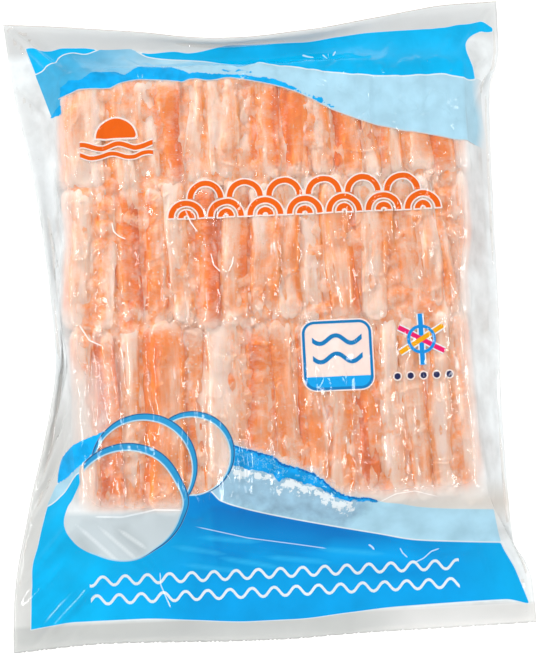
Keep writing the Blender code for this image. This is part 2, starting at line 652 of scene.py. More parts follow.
    @staticmethod
    def crease_line(tree: NodeTree) -> NodeSocket:
        """Where a single thin crease lies, along whose line a white highlight is painted.

        Args:
            tree: the film's node tree.

        Returns:
            One on the crease's line and nought beside it.
        """
        side = add_node(tree, "Attribute", attribute_name="crease_side").outputs["Fac"]
        half = add_node(tree, "Attribute", attribute_name="crease_half").outputs["Fac"]
        away = add_node(tree, "Math", {0: side}, operation="ABSOLUTE")
        beside = add_node(tree, "Math", {0: away, 1: half}, operation="SUBTRACT")
        return add_node(tree, "MapRange", {"Value": beside, 1: 0.15, 2: -0.15, 3: 0.0, 4: 1.0}).outputs[0]

    def creases(
        self, tree: NodeTree, place: NodeSocket, tight: NodeSocket, line: NodeSocket
    ) -> NodeSocket:
        """Where white highlights are painted on the film: along single creases, and in dashes on the crests
        under it.

        Args:
            tree: the film's node tree.
            place: the place on the film, in metres.
            tight: how tightly the film lies on the contents.
            line: one on a single crease and nought beside it.

        Returns:
            One on a crease or dash and nought beside it.
        """
        drawn_out = add_node(tree, "Mapping", {0: place, 3: (1.0, 0.22, 1.0)})
        noise = add_node(tree, "TexNoise", {
            "Vector": drawn_out, "Scale": 1 / (self.dash_size * MM), "Detail": 2.0, "Roughness": 0.6,
        })
        # The painted highlight dashes favour the film's crests, where glints would fall.
        crest = add_node(tree, "Attribute", attribute_name="crest").outputs["Fac"]
        raised = add_node(tree, "Math", {0: crest, 1: 0.10, 2: noise}, operation="MULTIPLY_ADD")
        dash = add_node(tree, "MapRange", {"Value": raised, 1: 0.65, 2: 0.79, 3: 0.0, 4: 1.0})
        held = add_node(tree, "Math", {0: dash, 1: tight}, operation="MULTIPLY")
        return add_node(tree, "Math", {0: held, 1: line}, operation="MAXIMUM").outputs[0]

    def rime(self, tree: NodeTree, place: NodeSocket) -> Node:
        """Frost that has grown on the inside of the film, in drawn-out patches, and small white flecks that
        are partly frost specks and partly painted glints.

        Args:
            tree: the film's node tree.
            place: the place on the film, in metres.

        Returns:
            How much the frost hides.
        """
        drawn_out = add_node(tree, "Mapping", {0: place, 3: (1.0, 0.4, 1.0)})
        patches = add_node(tree, "TexNoise", {
            "Vector": drawn_out, "Scale": 1 / (self.rime_size * MM), "Detail": 6.0, "Roughness": 0.65,
        })
        patch = add_node(tree, "MapRange", {"Value": patches, 1: 0.54, 2: 0.74, 3: 0.0, 4: self.rime_haze})
        # Small white flecks: partly frost specks, partly painted glints.
        cells = add_node(tree, "TexVoronoi", {"Vector": drawn_out, "Scale": 1 / (self.fleck_size * MM)})
        fleck = add_node(tree, "MapRange", {"Value": cells, 1: 0.28, 2: 0.10, 3: 0.0, 4: self.fleck_frost_and_glint})
        dice = add_node(tree, "SeparateColor", {"Color": cells.outputs["Color"]})
        threshold = add_node(tree, "MapRange", {"Value": patches, 1: 0.35, 2: 0.70, 3: 1.0, 4: 0.72})
        rare = add_node(tree, "Math", {0: dice, 1: threshold}, operation="GREATER_THAN")
        flecks = add_node(tree, "Math", {0: fleck, 1: rare}, operation="MULTIPLY")
        return add_node(tree, "Math", {0: patch, 1: flecks}, operation="MAXIMUM")

    def lay_inks(
        self,
        tree: NodeTree,
        place: NodeSocket,
        colour: NodeSocket,
        cover: NodeSocket,
    ) -> tuple[NodeSocket, NodeSocket, NodeSocket]:
        """Lay each ink over what is under it.

        Args:
            tree: the film's node tree.
            place: the place on the film, in metres.
            colour: colour of the bare film.
            cover: how much the bare film hides.

        Returns:
            Colour, cover and share of light let through, with all the inks on.
        """
        through = self.light_through
        bristles = add_node(tree, "TexNoise", {
            "Vector": place, "Scale": 1 / (self.bristle_size * MM), "Detail": 5.0, "Roughness": 0.66,
        })
        wander = add_node(tree, "Math", {0: bristles, 1: 0.5}, operation="SUBTRACT").outputs[0]
        mottles = {}
        for ink in self.inks:
            kind = (ink.mottle, ink.mottle_size)
            if kind not in mottles:
                mottles[kind] = self.mottle(tree, place, *kind)
            tint = add_node(tree, "HueSaturation", {"Color": linear(ink.colour), "Value": mottles[kind]})
            inside = self.ink_mask(tree, wander, ink)
            colour = add_node(tree, "Mix", {0: inside, 6: colour, 7: tint}, data_type="RGBA").outputs[2]
            cover = add_node(tree, "Mix", {0: inside, 2: cover, 3: ink.cover}, data_type="FLOAT").outputs[0]
            through = add_node(
                tree, "Mix", {0: inside, 2: through, 3: self.ink_through}, data_type="FLOAT"
            ).outputs[0]
        return colour, cover, through

    @staticmethod
    def mottle(tree: NodeTree, place: NodeSocket, depth: float, size: float) -> Node:
        """Vary an ink's strength about one by a depth, in soft patches of a size in millimetres."""
        patches = add_node(tree, "TexNoise", {"Vector": place, "Scale": 1 / (size * MM), "Detail": 3.0})
        return add_node(tree, "MapRange", {"Value": patches, 1: 0.3, 2: 0.7, 3: 1 - depth, 4: 1 + depth})

    @staticmethod
    def ink_mask(tree: NodeTree, wander: NodeSocket, ink: Ink) -> Node:
        """Work out where one ink lies.

        Args:
            tree: the film's node tree.
            wander: noise about zero that makes a brushed edge ragged.
            ink: the ink.

        Returns:
            One inside the ink and nought outside it.
        """
        edge = add_node(tree, "Attribute", attribute_name=ink.attribute).outputs["Fac"]
        if ink.ragged:
            edge = add_node(tree, "Math", {0: wander, 1: ink.ragged, 2: edge}, operation="MULTIPLY_ADD")
        if ink.half:
            off = add_node(tree, "Math", {0: edge, 1: ink.centre}, operation="SUBTRACT")
            away = add_node(tree, "Math", {0: off}, operation="ABSOLUTE")
            edge = add_node(tree, "Math", {0: away, 1: ink.half}, operation="SUBTRACT")
        soft = ink.softness
        inside = add_node(tree, "MapRange", {"Value": edge, 1: -soft, 2: soft, 3: 1.0, 4: 0.0})
        for clip in ink.clips:
            limit = add_node(tree, "Attribute", attribute_name=clip.lstrip("-")).outputs["Fac"]
            sign = CRISP if clip.startswith("-") else -CRISP
            kept = add_node(tree, "MapRange", {"Value": limit, 1: -sign, 2: sign, 3: 0.0, 4: 1.0})
            inside = add_node(tree, "Math", {0: inside, 1: kept}, operation="MULTIPLY")
        return inside


# ---- The pack's outline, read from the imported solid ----


class Side(Enum):
    """The four sides of the bag, each read from its left or lower end."""

    LOWER = "lower"
    RIGHT = "right"
    UPPER = "upper"
    LEFT = "left"


@dataclass
class BagOutline:
    """The bag's edge on the table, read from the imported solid."""

    solid: Object
    half_width: float = field(init=False)
    half_length: float = field(init=False)
    sides: dict[Side, Array] = field(init=False)

    def __post_init__(self) -> None:
        """Find the rim of the solid's underside and split it at the four corners."""
        points = mesh_points(self.solid.data) / MM
        self.half_width = float(points[:, 0].max())
        self.half_length = float(points[:, 1].max())
        loop = self.rim(points)
        shares = loop / (self.half_width, self.half_length)
        corners = [int(np.argmax(shares @ corner)) for corner in ((-1, -1), (1, -1), (1, 1), (-1, 1))]
        loop = np.roll(loop, -corners[0], axis=0)
        stops = [(corner - corners[0]) % len(loop) for corner in corners] + [len(loop)]
        closed = np.vstack([loop, loop[:1]])
        walks = [closed[a : b + 1] for a, b in zip(stops, stops[1:])]
        self.sides = dict(zip(Side, (walks[0], walks[1], walks[2][::-1], walks[3][::-1])))

    def rim(self, points: Array) -> Array:
        """Walk once round the solid's underside.

        Args:
            points: the solid's vertices in millimetres.

        Returns:
            The x, y places of the rim, anticlockwise.
        """
        whole = np.unique(np.round(points * 20).astype(int), axis=0, return_inverse=True)[1].ravel()
        uses: dict[tuple[int, int], int] = {}
        places = {}
        for polygon in self.solid.data.polygons:
            if polygon.normal.z > -0.5:
                continue
            corners = list(polygon.vertices)
            for a, b in zip(corners, corners[1:] + corners[:1]):
                edge = (int(min(whole[a], whole[b])), int(max(whole[a], whole[b])))
                uses[edge] = uses.get(edge, 0) + 1
                places[int(whole[a])] = points[a, :2]
        beside: dict[int, list[int]] = {}
        for a, b in (edge for edge, count in uses.items() if count == 1):
            beside.setdefault(a, []).append(b)
            beside.setdefault(b, []).append(a)
        walk = [next(iter(beside))]
        last = -1
        while len(walk) < 2 or walk[-1] != walk[0]:
            here = walk[-1]
            ahead = next(k for k in beside[here] if k != last)
            last = here
            walk.append(ahead)
        loop = np.array([places[k] for k in walk[:-1]])
        following = np.roll(loop, -1, axis=0)
        area = (loop[:, 0] * following[:, 1] - following[:, 0] * loop[:, 1]).sum()
        return loop if area > 0 else loop[::-1]

    def along(self, side: Side, count: int) -> Array:
        """Space points evenly along one side, on a smooth curve through the solid's points.

        Args:
            side: the side.
            count: how many points.

        Returns:
            Their x, y places.
        """
        points = self.sides[side]
        run = np.concatenate([[0.0], np.cumsum(np.linalg.norm(np.diff(points, axis=0), axis=1))])
        at = np.linspace(0, run[-1], count)
        return np.stack([smooth_curve(list(zip(run, points[:, k])), at) for k in (0, 1)], axis=1)

    def spread(self, columns: int, lines: int) -> Array:
        """Fill the outline with an even grid.

        Args:
            columns: how many points across.
            lines: how many points along.

        Returns:
            The x, y places, by line and then by column.
        """
        lower, upper = self.along(Side.LOWER, columns)[None], self.along(Side.UPPER, columns)[None]
        left, right = self.along(Side.LEFT, lines)[:, None], self.along(Side.RIGHT, lines)[:, None]
        s, t = np.linspace(0, 1, columns)[None, :, None], np.linspace(0, 1, lines)[:, None, None]
        ruled = (1 - t) * lower + t * upper + (1 - s) * left + s * right
        near = (1 - s) * lower[:, :1] + s * lower[:, -1:]
        far = (1 - s) * upper[:, :1] + s * upper[:, -1:]
        return ruled - (1 - t) * near - t * far


# ---- Leg meat ----


class Layer(Enum):
    """Which of the two layers of the block a row lies in."""

    LOWER = "lower"
    UPPER = "upper"


@dataclass(frozen=True)
class Row:
    """One row of sticks that lie side by side: (width, tone) of each from left to right.

    Tone runs from 0, pale cream, to 1, deep orange. A flare is a stick's number and the share by
    which its lower end is wider, and its upper end narrower, than its middle.
    """

    name: str
    left: float
    low_end: float
    high_end: float
    sticks: tuple[tuple[float, float], ...]
    flares: tuple[tuple[int, float], ...] = ()

    def right(self) -> float:
        """Place of the row's right end."""
        return self.left + sum(width for width, _ in self.sticks)


@dataclass(frozen=True)
class StickMould:
    """How finely a stick of leg meat is modelled, and how its shape is rounded and furrowed."""

    segments: int
    rings: int
    squareness: float = 3.0
    tip: float = 8.0
    tip_bluntness: float = 2.6
    furrow: float = 0.33
    furrow_counts: tuple[int, ...] = (5, 9, 15)
    sway: float = 1.5
    swelling: Waves = ((70.0, 35.0), (0.045, 0.020))
    side_wave: Waves = ((60.0, 26.0), (0.60, 0.25))
    lumps: Waves = ((14.0, 7.0), (1.0, 0.6))
    lump_height: float = 0.45
    torn_end: Waves = ((2.2, 1.0), (1.3, 0.7))
    torn_length: float = 2.0

    def cast(self, name: str) -> Object:
        """Model the plain round stick that every stick of this mould is shaped from.

        Args:
            name: name of the object.

        Returns:
            A ball, drawn with its poles along Y.
        """
        deselect()
        bpy.ops.mesh.primitive_uv_sphere_add(segments=self.segments, ring_count=self.rings, radius=1.0)
        master = bpy.context.view_layer.objects.active
        master.name = name
        bpy.ops.object.mode_set(mode="EDIT")
        bpy.ops.mesh.select_all(action="SELECT")
        bpy.ops.transform.rotate(
            value=math.pi / 2, orient_axis="X", orient_type="GLOBAL", center_override=(0.0, 0.0, 0.0)
        )
        bpy.ops.object.mode_set(mode="OBJECT")
        return master


@dataclass(frozen=True)
class StickSpot:
    """Where one stick lies, and its size and tone.

    It reaches from low to high along the pack, and its upper end lies further right than its lower
    one by its lean. Its broad orange band is on the right where the dark side is 1, and on the left
    where it is -1.
    """

    centre: float
    low: float
    high: float
    bottom: float
    width: float
    height: float
    tone: float
    lean: float
    flare: float
    dark_side: float
    seed: int


@dataclass(frozen=True)
class StickMarks:
    """Where a stick is pigmented and frosted.

    A broad orange band runs along one flank and a narrow one along the other, each given by its middle and
    half width in degrees from the crest. The creases between sticks are a deeper orange too, partly the
    meat's red skin and partly painted shade where the sticks meet.
    """

    broad_band: tuple[float, float] = (30.0, 17.0)
    narrow_band: tuple[float, float] = (-44.0, 10.0)
    narrow_strength: float = 0.4
    wander: float = 9.0
    crease_from: float = 36.0
    crease_full: float = 50.0
    crease_pigment_and_shade: float = 0.36
    palest: float = 0.07
    tone_pigment: float = 0.68
    band_pigment: float = 0.20
    band_tone_pigment: float = 0.56
    end_drift: float = 0.2
    tip_frost: float = 0.8
    frost_reach: float = 13.0

    def store_on(
        self,
        stick: Object,
        spot: StickSpot,
        around: Array,
        share: Array,
        y: Array,
        dice: np.random.Generator,
    ) -> None:
        """Store what the finish of a stick reads: its grain, pigment and frost.

        Args:
            stick: the shaped stick.
            spot: where the stick lies, and its size and tone.
            around: each point's angle round the stick, from -pi to pi.
            share: each point's place from the stick's lower end, 0, to its upper end, 1.
            y: each point's place along the pack.
            dice: the stick's own random numbers.
        """
        length = spot.high - spot.low
        side = np.where(np.cos(around) > 0, spot.dark_side, -spot.dark_side)
        off_crest = np.degrees(np.arccos(np.clip(np.sin(around), -1, 1))) * side
        wander = self.wander * np.sin(share * length / dice.uniform(18, 36) + dice.uniform(0, 6))
        (broad_at, broad_half), (narrow_at, narrow_half) = self.broad_band, self.narrow_band
        broad = np.exp(-(((off_crest - broad_at - wander) / broad_half) ** 2))
        narrow = np.exp(-(((off_crest - narrow_at + wander) / narrow_half) ** 2))
        band = broad + self.narrow_strength * narrow
        # Deeper pigment on each stick's lower sides, where it meets its neighbours: partly red skin, partly
        # painted shade.
        crease = ease((np.abs(off_crest) - self.crease_from) / (self.crease_full - self.crease_from))
        depth = self.palest + self.tone_pigment * spot.tone + self.crease_pigment_and_shade * crease
        depth += band * (self.band_pigment + self.band_tone_pigment * spot.tone)
        depth += self.end_drift * (share - 0.5) * dice.uniform(-1, 1)
        to_tip = np.minimum(share, 1 - share) * length
        tip_frost = np.clip(self.tip_frost * (1 - to_tip / self.frost_reach), 0, 1)
        grain = np.stack([around * spot.width / 2, y, np.full_like(y, spot.seed * 37.0)], axis=1)
        store_vector(stick.data, "grain", grain)
        store(stick.data, "pigment", depth)
        store(stick.data, "frost", tip_frost + dice.uniform(-0.10, 0.16))


@dataclass
class LegMeatBlock:
    """The frozen block: two layers of peeled leg sticks in three rows."""

    layer_height: float = 12.6
    table_gap: float = 0.5
    overlap: float = 1.22
    flatness: float = 0.94  # height of a thin stick, as a share of the layer's
    plumpness: float = 0.004  # and how much more of it a millimetre of width adds
    lower_shift: float = 3.0
    lower_width: float = 0.97
    upper_mould: StickMould = StickMould(segments=36, rings=92)
    lower_mould: StickMould = StickMould(segments=20, rings=36)
    marks: StickMarks = StickMarks()
    seed: int = 11
    rows: tuple[Row, ...] = (
        Row("front", -103.5, -107.5, -3.5, (
            (11, 0.10), (13, 0.94), (13, 0.32), (23, 0.46), (10, 0.75), (21, 0.10), (16, 0.64),
            (12, 0.40), (15, 0.44), (16, 0.50), (14, 1.12), (13, 0.10), (13.5, 0.36), (13, 0.26),
            (13, 0.26),
        ), ((9, 0.10), (10, -0.22), (11, 0.42), (12, -0.12))),
        Row("middle", -106.5, -8.0, 74.0, (
            (16, 0.12), (13, 0.36), (14, 0.96), (13, 0.58), (13, 0.20), (16, 0.98), (15, 0.44),
            (17, 0.28), (12, 0.36), (12, 0.15), (18, 0.50), (20, 0.26), (14, 0.42), (11, 0.15),
            (8, 0.38), (8, 0.18),
        )),
        Row("back", -105.5, 70.0, 136.0, (
            (24, 0.08), (15, 0.24), (14, 0.30), (14, 0.78), (11, 0.15), (17, 0.20), (12, 0.42),
            (13, 0.56), (14, 0.66), (14, 0.16), (16, 0.70), (8, 0.22), (7, 0.80), (9, 0.18), (15, 0.40),
            (12, 0.66), (8, 0.16),
        )),
    )

    def shape_stick(self, stick: Object, mould: StickMould, spot: StickSpot) -> None:
        """Turn the plain master shape into one stick at its place.

        Args:
            stick: a copy of the mould's master, with its own mesh.
            mould: the mould it was copied from.
            spot: where the stick lies, and its size and tone.
        """
        ball = mesh_points(stick.data)
        dice = np.random.default_rng(spot.seed)
        around = np.arctan2(ball[:, 2], ball[:, 0])
        share = 1 - np.arccos(np.clip(ball[:, 1] / np.linalg.norm(ball, axis=1), -1, 1)) / np.pi
        level = np.zeros_like(share)
        length = spot.high - spot.low
        run = share * length
        tips = mould.tip * dice.uniform(0.7, 1.3, 2)
        to_low, to_high = run / tips[0], (1 - share) * length / tips[1]
        girth = np.ones_like(share)
        for to_end in (to_low, to_high):
            girth *= np.sqrt(np.clip(1 - (1 - np.clip(to_end, 0, 1)) ** mould.tip_bluntness, 0, 1))
        taper = 1 + (spot.flare + dice.uniform(-0.10, 0.10)) * (1 - 2 * share)
        swell = Ripple(spot.seed + 1, *mould.swelling).at(run, level)
        cos, sin = np.cos(around), np.sin(around)
        power = 2 / mould.squareness
        flat_x, flat_z = np.sign(cos) * np.abs(cos) ** power, np.sign(sin) * np.abs(sin) ** power
        grooves = np.zeros_like(share)
        twist = dice.uniform(-0.5, 0.5)
        for count in mould.furrow_counts:
            phase = dice.uniform(0, 2 * np.pi)
            drift = 0.8 * np.sin(run / dice.uniform(30, 60) + dice.uniform(0, 6))
            turn = count / 2 * (around + twist * share) + phase + drift
            grooves += (1 - np.abs(np.cos(turn))) ** 3 / count**0.5
        relief = 1 - mould.furrow * grooves * girth
        sway = mould.sway * np.sin(share * np.pi * dice.uniform(0.8, 1.6) + dice.uniform(0, 6))
        half_width = flat_x * girth * taper * (1 + swell) * relief * spot.width / 2
        x = spot.centre + sway + spot.lean * (share - 0.5) + half_width
        half_height = flat_z * girth**0.7 * (1 + swell * 0.5) * relief * spot.height / 2
        z = spot.bottom + spot.height / 2 + half_height
        side_wave = Ripple(spot.seed + 2, *mould.side_wave).at(run, around * 6)
        x += side_wave * girth * np.sign(cos) * np.abs(cos) ** 0.5
        lumps = Ripple(spot.seed + 4, *mould.lumps).at(run * 0.35, around * spot.width / 2)
        z = np.maximum(z + mould.lump_height * lumps * girth * flat_z, self.table_gap)
        ragged = Ripple(spot.seed + 3, *mould.torn_end).at(around, level)
        near_tip = np.clip(1 - np.minimum(to_low, to_high) / mould.torn_length, 0, 1)
        y = spot.low + run + np.where(share > 0.5, ragged, -ragged) * near_tip
        place_points(stick.data, np.stack([x, y, z], axis=1) * MM)
        self.marks.store_on(stick, spot, around, share, y, dice)

    def lay_row(self, row: Row, layer: Layer, number: int) -> Object:
        """Build one row of one layer as one piece.

        Args:
            row: the row's place and its sticks.
            layer: the layer it belongs to.
            number: number of the row and layer, which seeds its shapes.

        Returns:
            The piece, without a material.
        """
        upper = layer is Layer.UPPER
        mould = self.upper_mould if upper else self.lower_mould
        master = mould.cast(f"{layer.value}_master")
        dice = np.random.default_rng(self.seed + number)
        sticks = row.sticks if upper else row.sticks[::-1]
        left = row.left if upper else row.left + self.lower_shift
        made = []
        for k, (full_width, tone) in enumerate(sticks):
            width = full_width if upper else full_width * self.lower_width
            stick = copy_of(master, "stick")
            lift = self.layer_height if upper else 0.0
            spot = StickSpot(
                centre=left + width / 2 + dice.uniform(-0.5, 0.5),
                low=row.low_end + dice.uniform(-2.5, 3.0),
                high=row.high_end - dice.uniform(-2.5, 3.0),
                bottom=self.table_gap + lift + dice.uniform(-0.2, 0.3),
                width=width * self.overlap,
                height=self.layer_height * (self.flatness + self.plumpness * width) - dice.uniform(0, 0.9),
                tone=tone,
                lean=dice.uniform(-1.5, 1.5),
                flare=dict(row.flares).get(k, 0.0) if upper else 0.0,
                dark_side=1.0 if dice.random() < 0.5 else -1.0,
                seed=self.seed * 1000 + number * 100 + k,
            )
            self.shape_stick(stick, mould, spot)
            made.append(stick)
            left += width
        bpy.data.objects.remove(master)
        return join(made, f"leg_meat_{layer.value}_{row.name}")

    def build(self) -> list[Object]:
        """Lay both layers of every row and give them their finish.

        Returns:
            One piece for each row of each layer.
        """
        finish = LegMeatFinish().make()
        pieces = []
        for number, (layer, row) in enumerate((layer, row) for layer in Layer for row in self.rows):
            piece = self.lay_row(row, layer, number)
            finish_piece(piece, finish)
            pieces.append(piece)
        return pieces


@dataclass
class FrozenJuice:
    """Frozen juice and shreds of meat that fill the gaps of the block up to just under its crests."""

    pitch: float = 2.0
    top: float = 23.9
    base: float = 2.0
    edge_share: float = 0.45
    unevenness: float = 0.8
    margin: float = 0.8
    shoulder: float = 5.0
    pigment: float = 0.57
    frost: float = 0.25
    seed: int = 21

    def build(self, block: LegMeatBlock) -> Object:
        """Build the filling as one closed slab.

        Args:
            block: the block of meat that it fills.

        Returns:
            The slab.
        """
        low = block.rows[0].low_end + self.margin
        high = block.rows[-1].high_end - self.margin
        middles = [(row.low_end + row.high_end) / 2 for row in block.rows]
        lefts = [row.left + self.margin for row in block.rows]
        rights = [row.right() - self.margin for row in block.rows]
        columns, lines = int((rights[0] - lefts[0]) / self.pitch), int((high - low) / self.pitch)
        deselect()
        bpy.ops.mesh.primitive_grid_add(x_subdivisions=columns, y_subdivisions=lines, size=2.0)
        slab = bpy.context.view_layer.objects.active
        solidify = slab.modifiers.new("depth", "SOLIDIFY")
        solidify.thickness = 0.5
        solidify.offset = 0.0
        bpy.ops.object.modifier_apply(modifier=solidify.name)
        points = mesh_points(slab.data)
        y = low + (high - low) * (points[:, 1] + 1) / 2
        left, right = (np.interp(y, middles, ends) for ends in (lefts, rights))
        x = left + (right - left) * (points[:, 0] + 1) / 2
        inward = np.minimum(np.minimum(x - left, right - x), np.minimum(y - low, high - y))
        rounded = np.sqrt(1 - (1 - np.clip(inward / self.shoulder, 0, 1)) ** 2)
        bumps = Ripple(self.seed, (30.0, 11.0, 5.0), (0.6, 0.6, 0.5)).at(x, y * 0.6) * self.unevenness
        rise = self.edge_share + (1 - self.edge_share) * rounded
        crown = self.base + (self.top - self.base) * rise + bumps
        z = np.where(points[:, 2] > 0, crown, block.table_gap + 0.3)
        place_points(slab.data, np.stack([x, y, z], axis=1) * MM)
        streaks = Ripple(self.seed + 1, (16.0, 7.0), (0.16, 0.12)).at(x, y * 0.15)
        store_vector(slab.data, "grain", np.stack([x, y, z], axis=1))
        store(slab.data, "pigment", self.pigment + streaks)
        store(slab.data, "frost", np.full(len(x), self.frost))
        slab.name = slab.data.name = "frozen_juice"
        finish_piece(slab, LegMeatFinish(name="frozen_juice_and_shreds").make())
        return slab


@dataclass
class FrostCrumbs:
    """Lumps of frost and ice that sit in the valleys between the rows and along the block's ends."""

    count_each_valley: int = 110
    smallest: float = 0.8
    largest: float = 3.4
    depth: float = 3.2
    spread: float = 1.6
    valley_setback: float = 2.0
    foot_setback: float = 6.5
    end_gap: float = 2.0
    dents: Waves = ((1.1,), (0.22,))
    seed: int = 5

    def build(self, block: LegMeatBlock) -> Object:
        """Scatter the lumps along the valleys of the block.

        Args:
            block: the block of meat whose rows they lie between.

        Returns:
            One piece that holds every lump.
        """
        dice = np.random.default_rng(self.seed)
        top = block.table_gap + 2 * block.layer_height
        front = block.rows[0]
        valleys = [(row.high_end - self.valley_setback, row) for row in block.rows]
        valleys.append((front.low_end + self.foot_setback, front))
        deselect()
        bpy.ops.mesh.primitive_ico_sphere_add(subdivisions=2, radius=1.0)
        master = bpy.context.view_layer.objects.active
        lumps = []
        for y_mid, row in valleys:
            left, right = row.left + self.end_gap, row.right() - self.end_gap
            for _ in range(self.count_each_valley):
                lump = copy_of(master, "lump")
                size = self.smallest + (self.largest - self.smallest) * dice.random() ** 2.0
                points = mesh_points(lump.data)
                dents = Ripple(int(dice.integers(1 << 30)), *self.dents).at(points[:, 0], points[:, 2])
                points *= (1 + dents[:, None]) * size * dice.uniform(0.7, 1.3, 3)
                x, y = dice.uniform(left, right), y_mid + dice.normal(0, self.spread)
                z = top - self.depth - dice.uniform(0, 1.6)
                place_points(lump.data, (points + (x, y, z)) * MM)
                lumps.append(lump)
        bpy.data.objects.remove(master)
        piece = join(lumps, "frost_crumbs")
        finish_piece(piece, FrostFinish().make())
        return piece


# ---- Film ----


@dataclass
class Relief:
    """Height of whatever lies under the front film, sampled once on a fine raster."""

    pieces: list[Object]
    outline: BagOutline
    pitch: float = 1.0
    ceiling: float = 60.0
    least: float = 5.0
    fade_rounds: int = 140
    loose_from: float = 0.42
    tight_from: float = 0.98
    xs: Array = field(init=False)
    ys: Array = field(init=False)
    heights: Array = field(init=False)

    def __post_init__(self) -> None:
        """Drop a ray on the pieces at every raster point, and widen what it finds by one point."""
        trees = []
        for piece in self.pieces:
            mesh = piece.data
            mesh.calc_loop_triangles()
            corners = np.zeros(len(mesh.loop_triangles) * 3, int)
            mesh.loop_triangles.foreach_get("vertices", corners)
            points = mesh_points(mesh) / MM
            trees.append(BVHTree.FromPolygons(points.tolist(), corners.reshape(-1, 3).tolist()))
        half_width, half_length = self.outline.half_width, self.outline.half_length
        self.xs = np.arange(-half_width, half_width + self.pitch, self.pitch)
        self.ys = np.arange(-half_length, half_length + self.pitch, self.pitch)
        self.heights = np.zeros((len(self.ys), len(self.xs)))
        down = Vector((0.0, 0.0, -1.0))
        for j, y in enumerate(self.ys):
            for i, x in enumerate(self.xs):
                hits = [tree.ray_cast(Vector((x, y, self.ceiling)), down)[0] for tree in trees]
                self.heights[j, i] = max((hit.z for hit in hits if hit is not None), default=0.0)
        for axis in (0, 1):
            shifted = [np.roll(self.heights, step, axis) for step in (-1, 0, 1)]
            self.heights = np.maximum.reduce(shifted)

    def filled(self, x: Array, y: Array) -> Array:
        """Whether the contents lie under each place."""
        return self.at(x, y) > self.least

    def openness(self, x: Array, y: Array) -> Array:
        """How loosely the film lies over the contents.

        Args:
            x: places across the pack.
            y: places along the pack.

        Returns:
            0 well inside the contents, rising to 1 in the borders.
        """
        filled = (self.heights > self.least).astype(float)
        blur(filled, self.fade_rounds)
        return 1 - ease((self.read(filled, x, y) - self.loose_from) / (self.tight_from - self.loose_from))

    def at(self, x: Array, y: Array) -> Array:
        """Height of the contents at each place."""
        return self.read(self.heights, x, y)

    def read(self, raster: Array, x: Array, y: Array) -> Array:
        """Read a raster between its points.

        Args:
            raster: values on the raster of heights.
            x: places across the pack.
            y: places along the pack.

        Returns:
            The value at each place.
        """
        u = np.clip((x - self.xs[0]) / self.pitch, 0, len(self.xs) - 1.001)
        v = np.clip((y - self.ys[0]) / self.pitch, 0, len(self.ys) - 1.001)
        i, j = u.astype(int), v.astype(int)
        a, b = u - i, v - j
        low = raster[j, i] * (1 - a) + raster[j, i + 1] * a
        high = raster[j + 1, i] * (1 - a) + raster[j + 1, i + 1] * a
        return low * (1 - b) + high * b


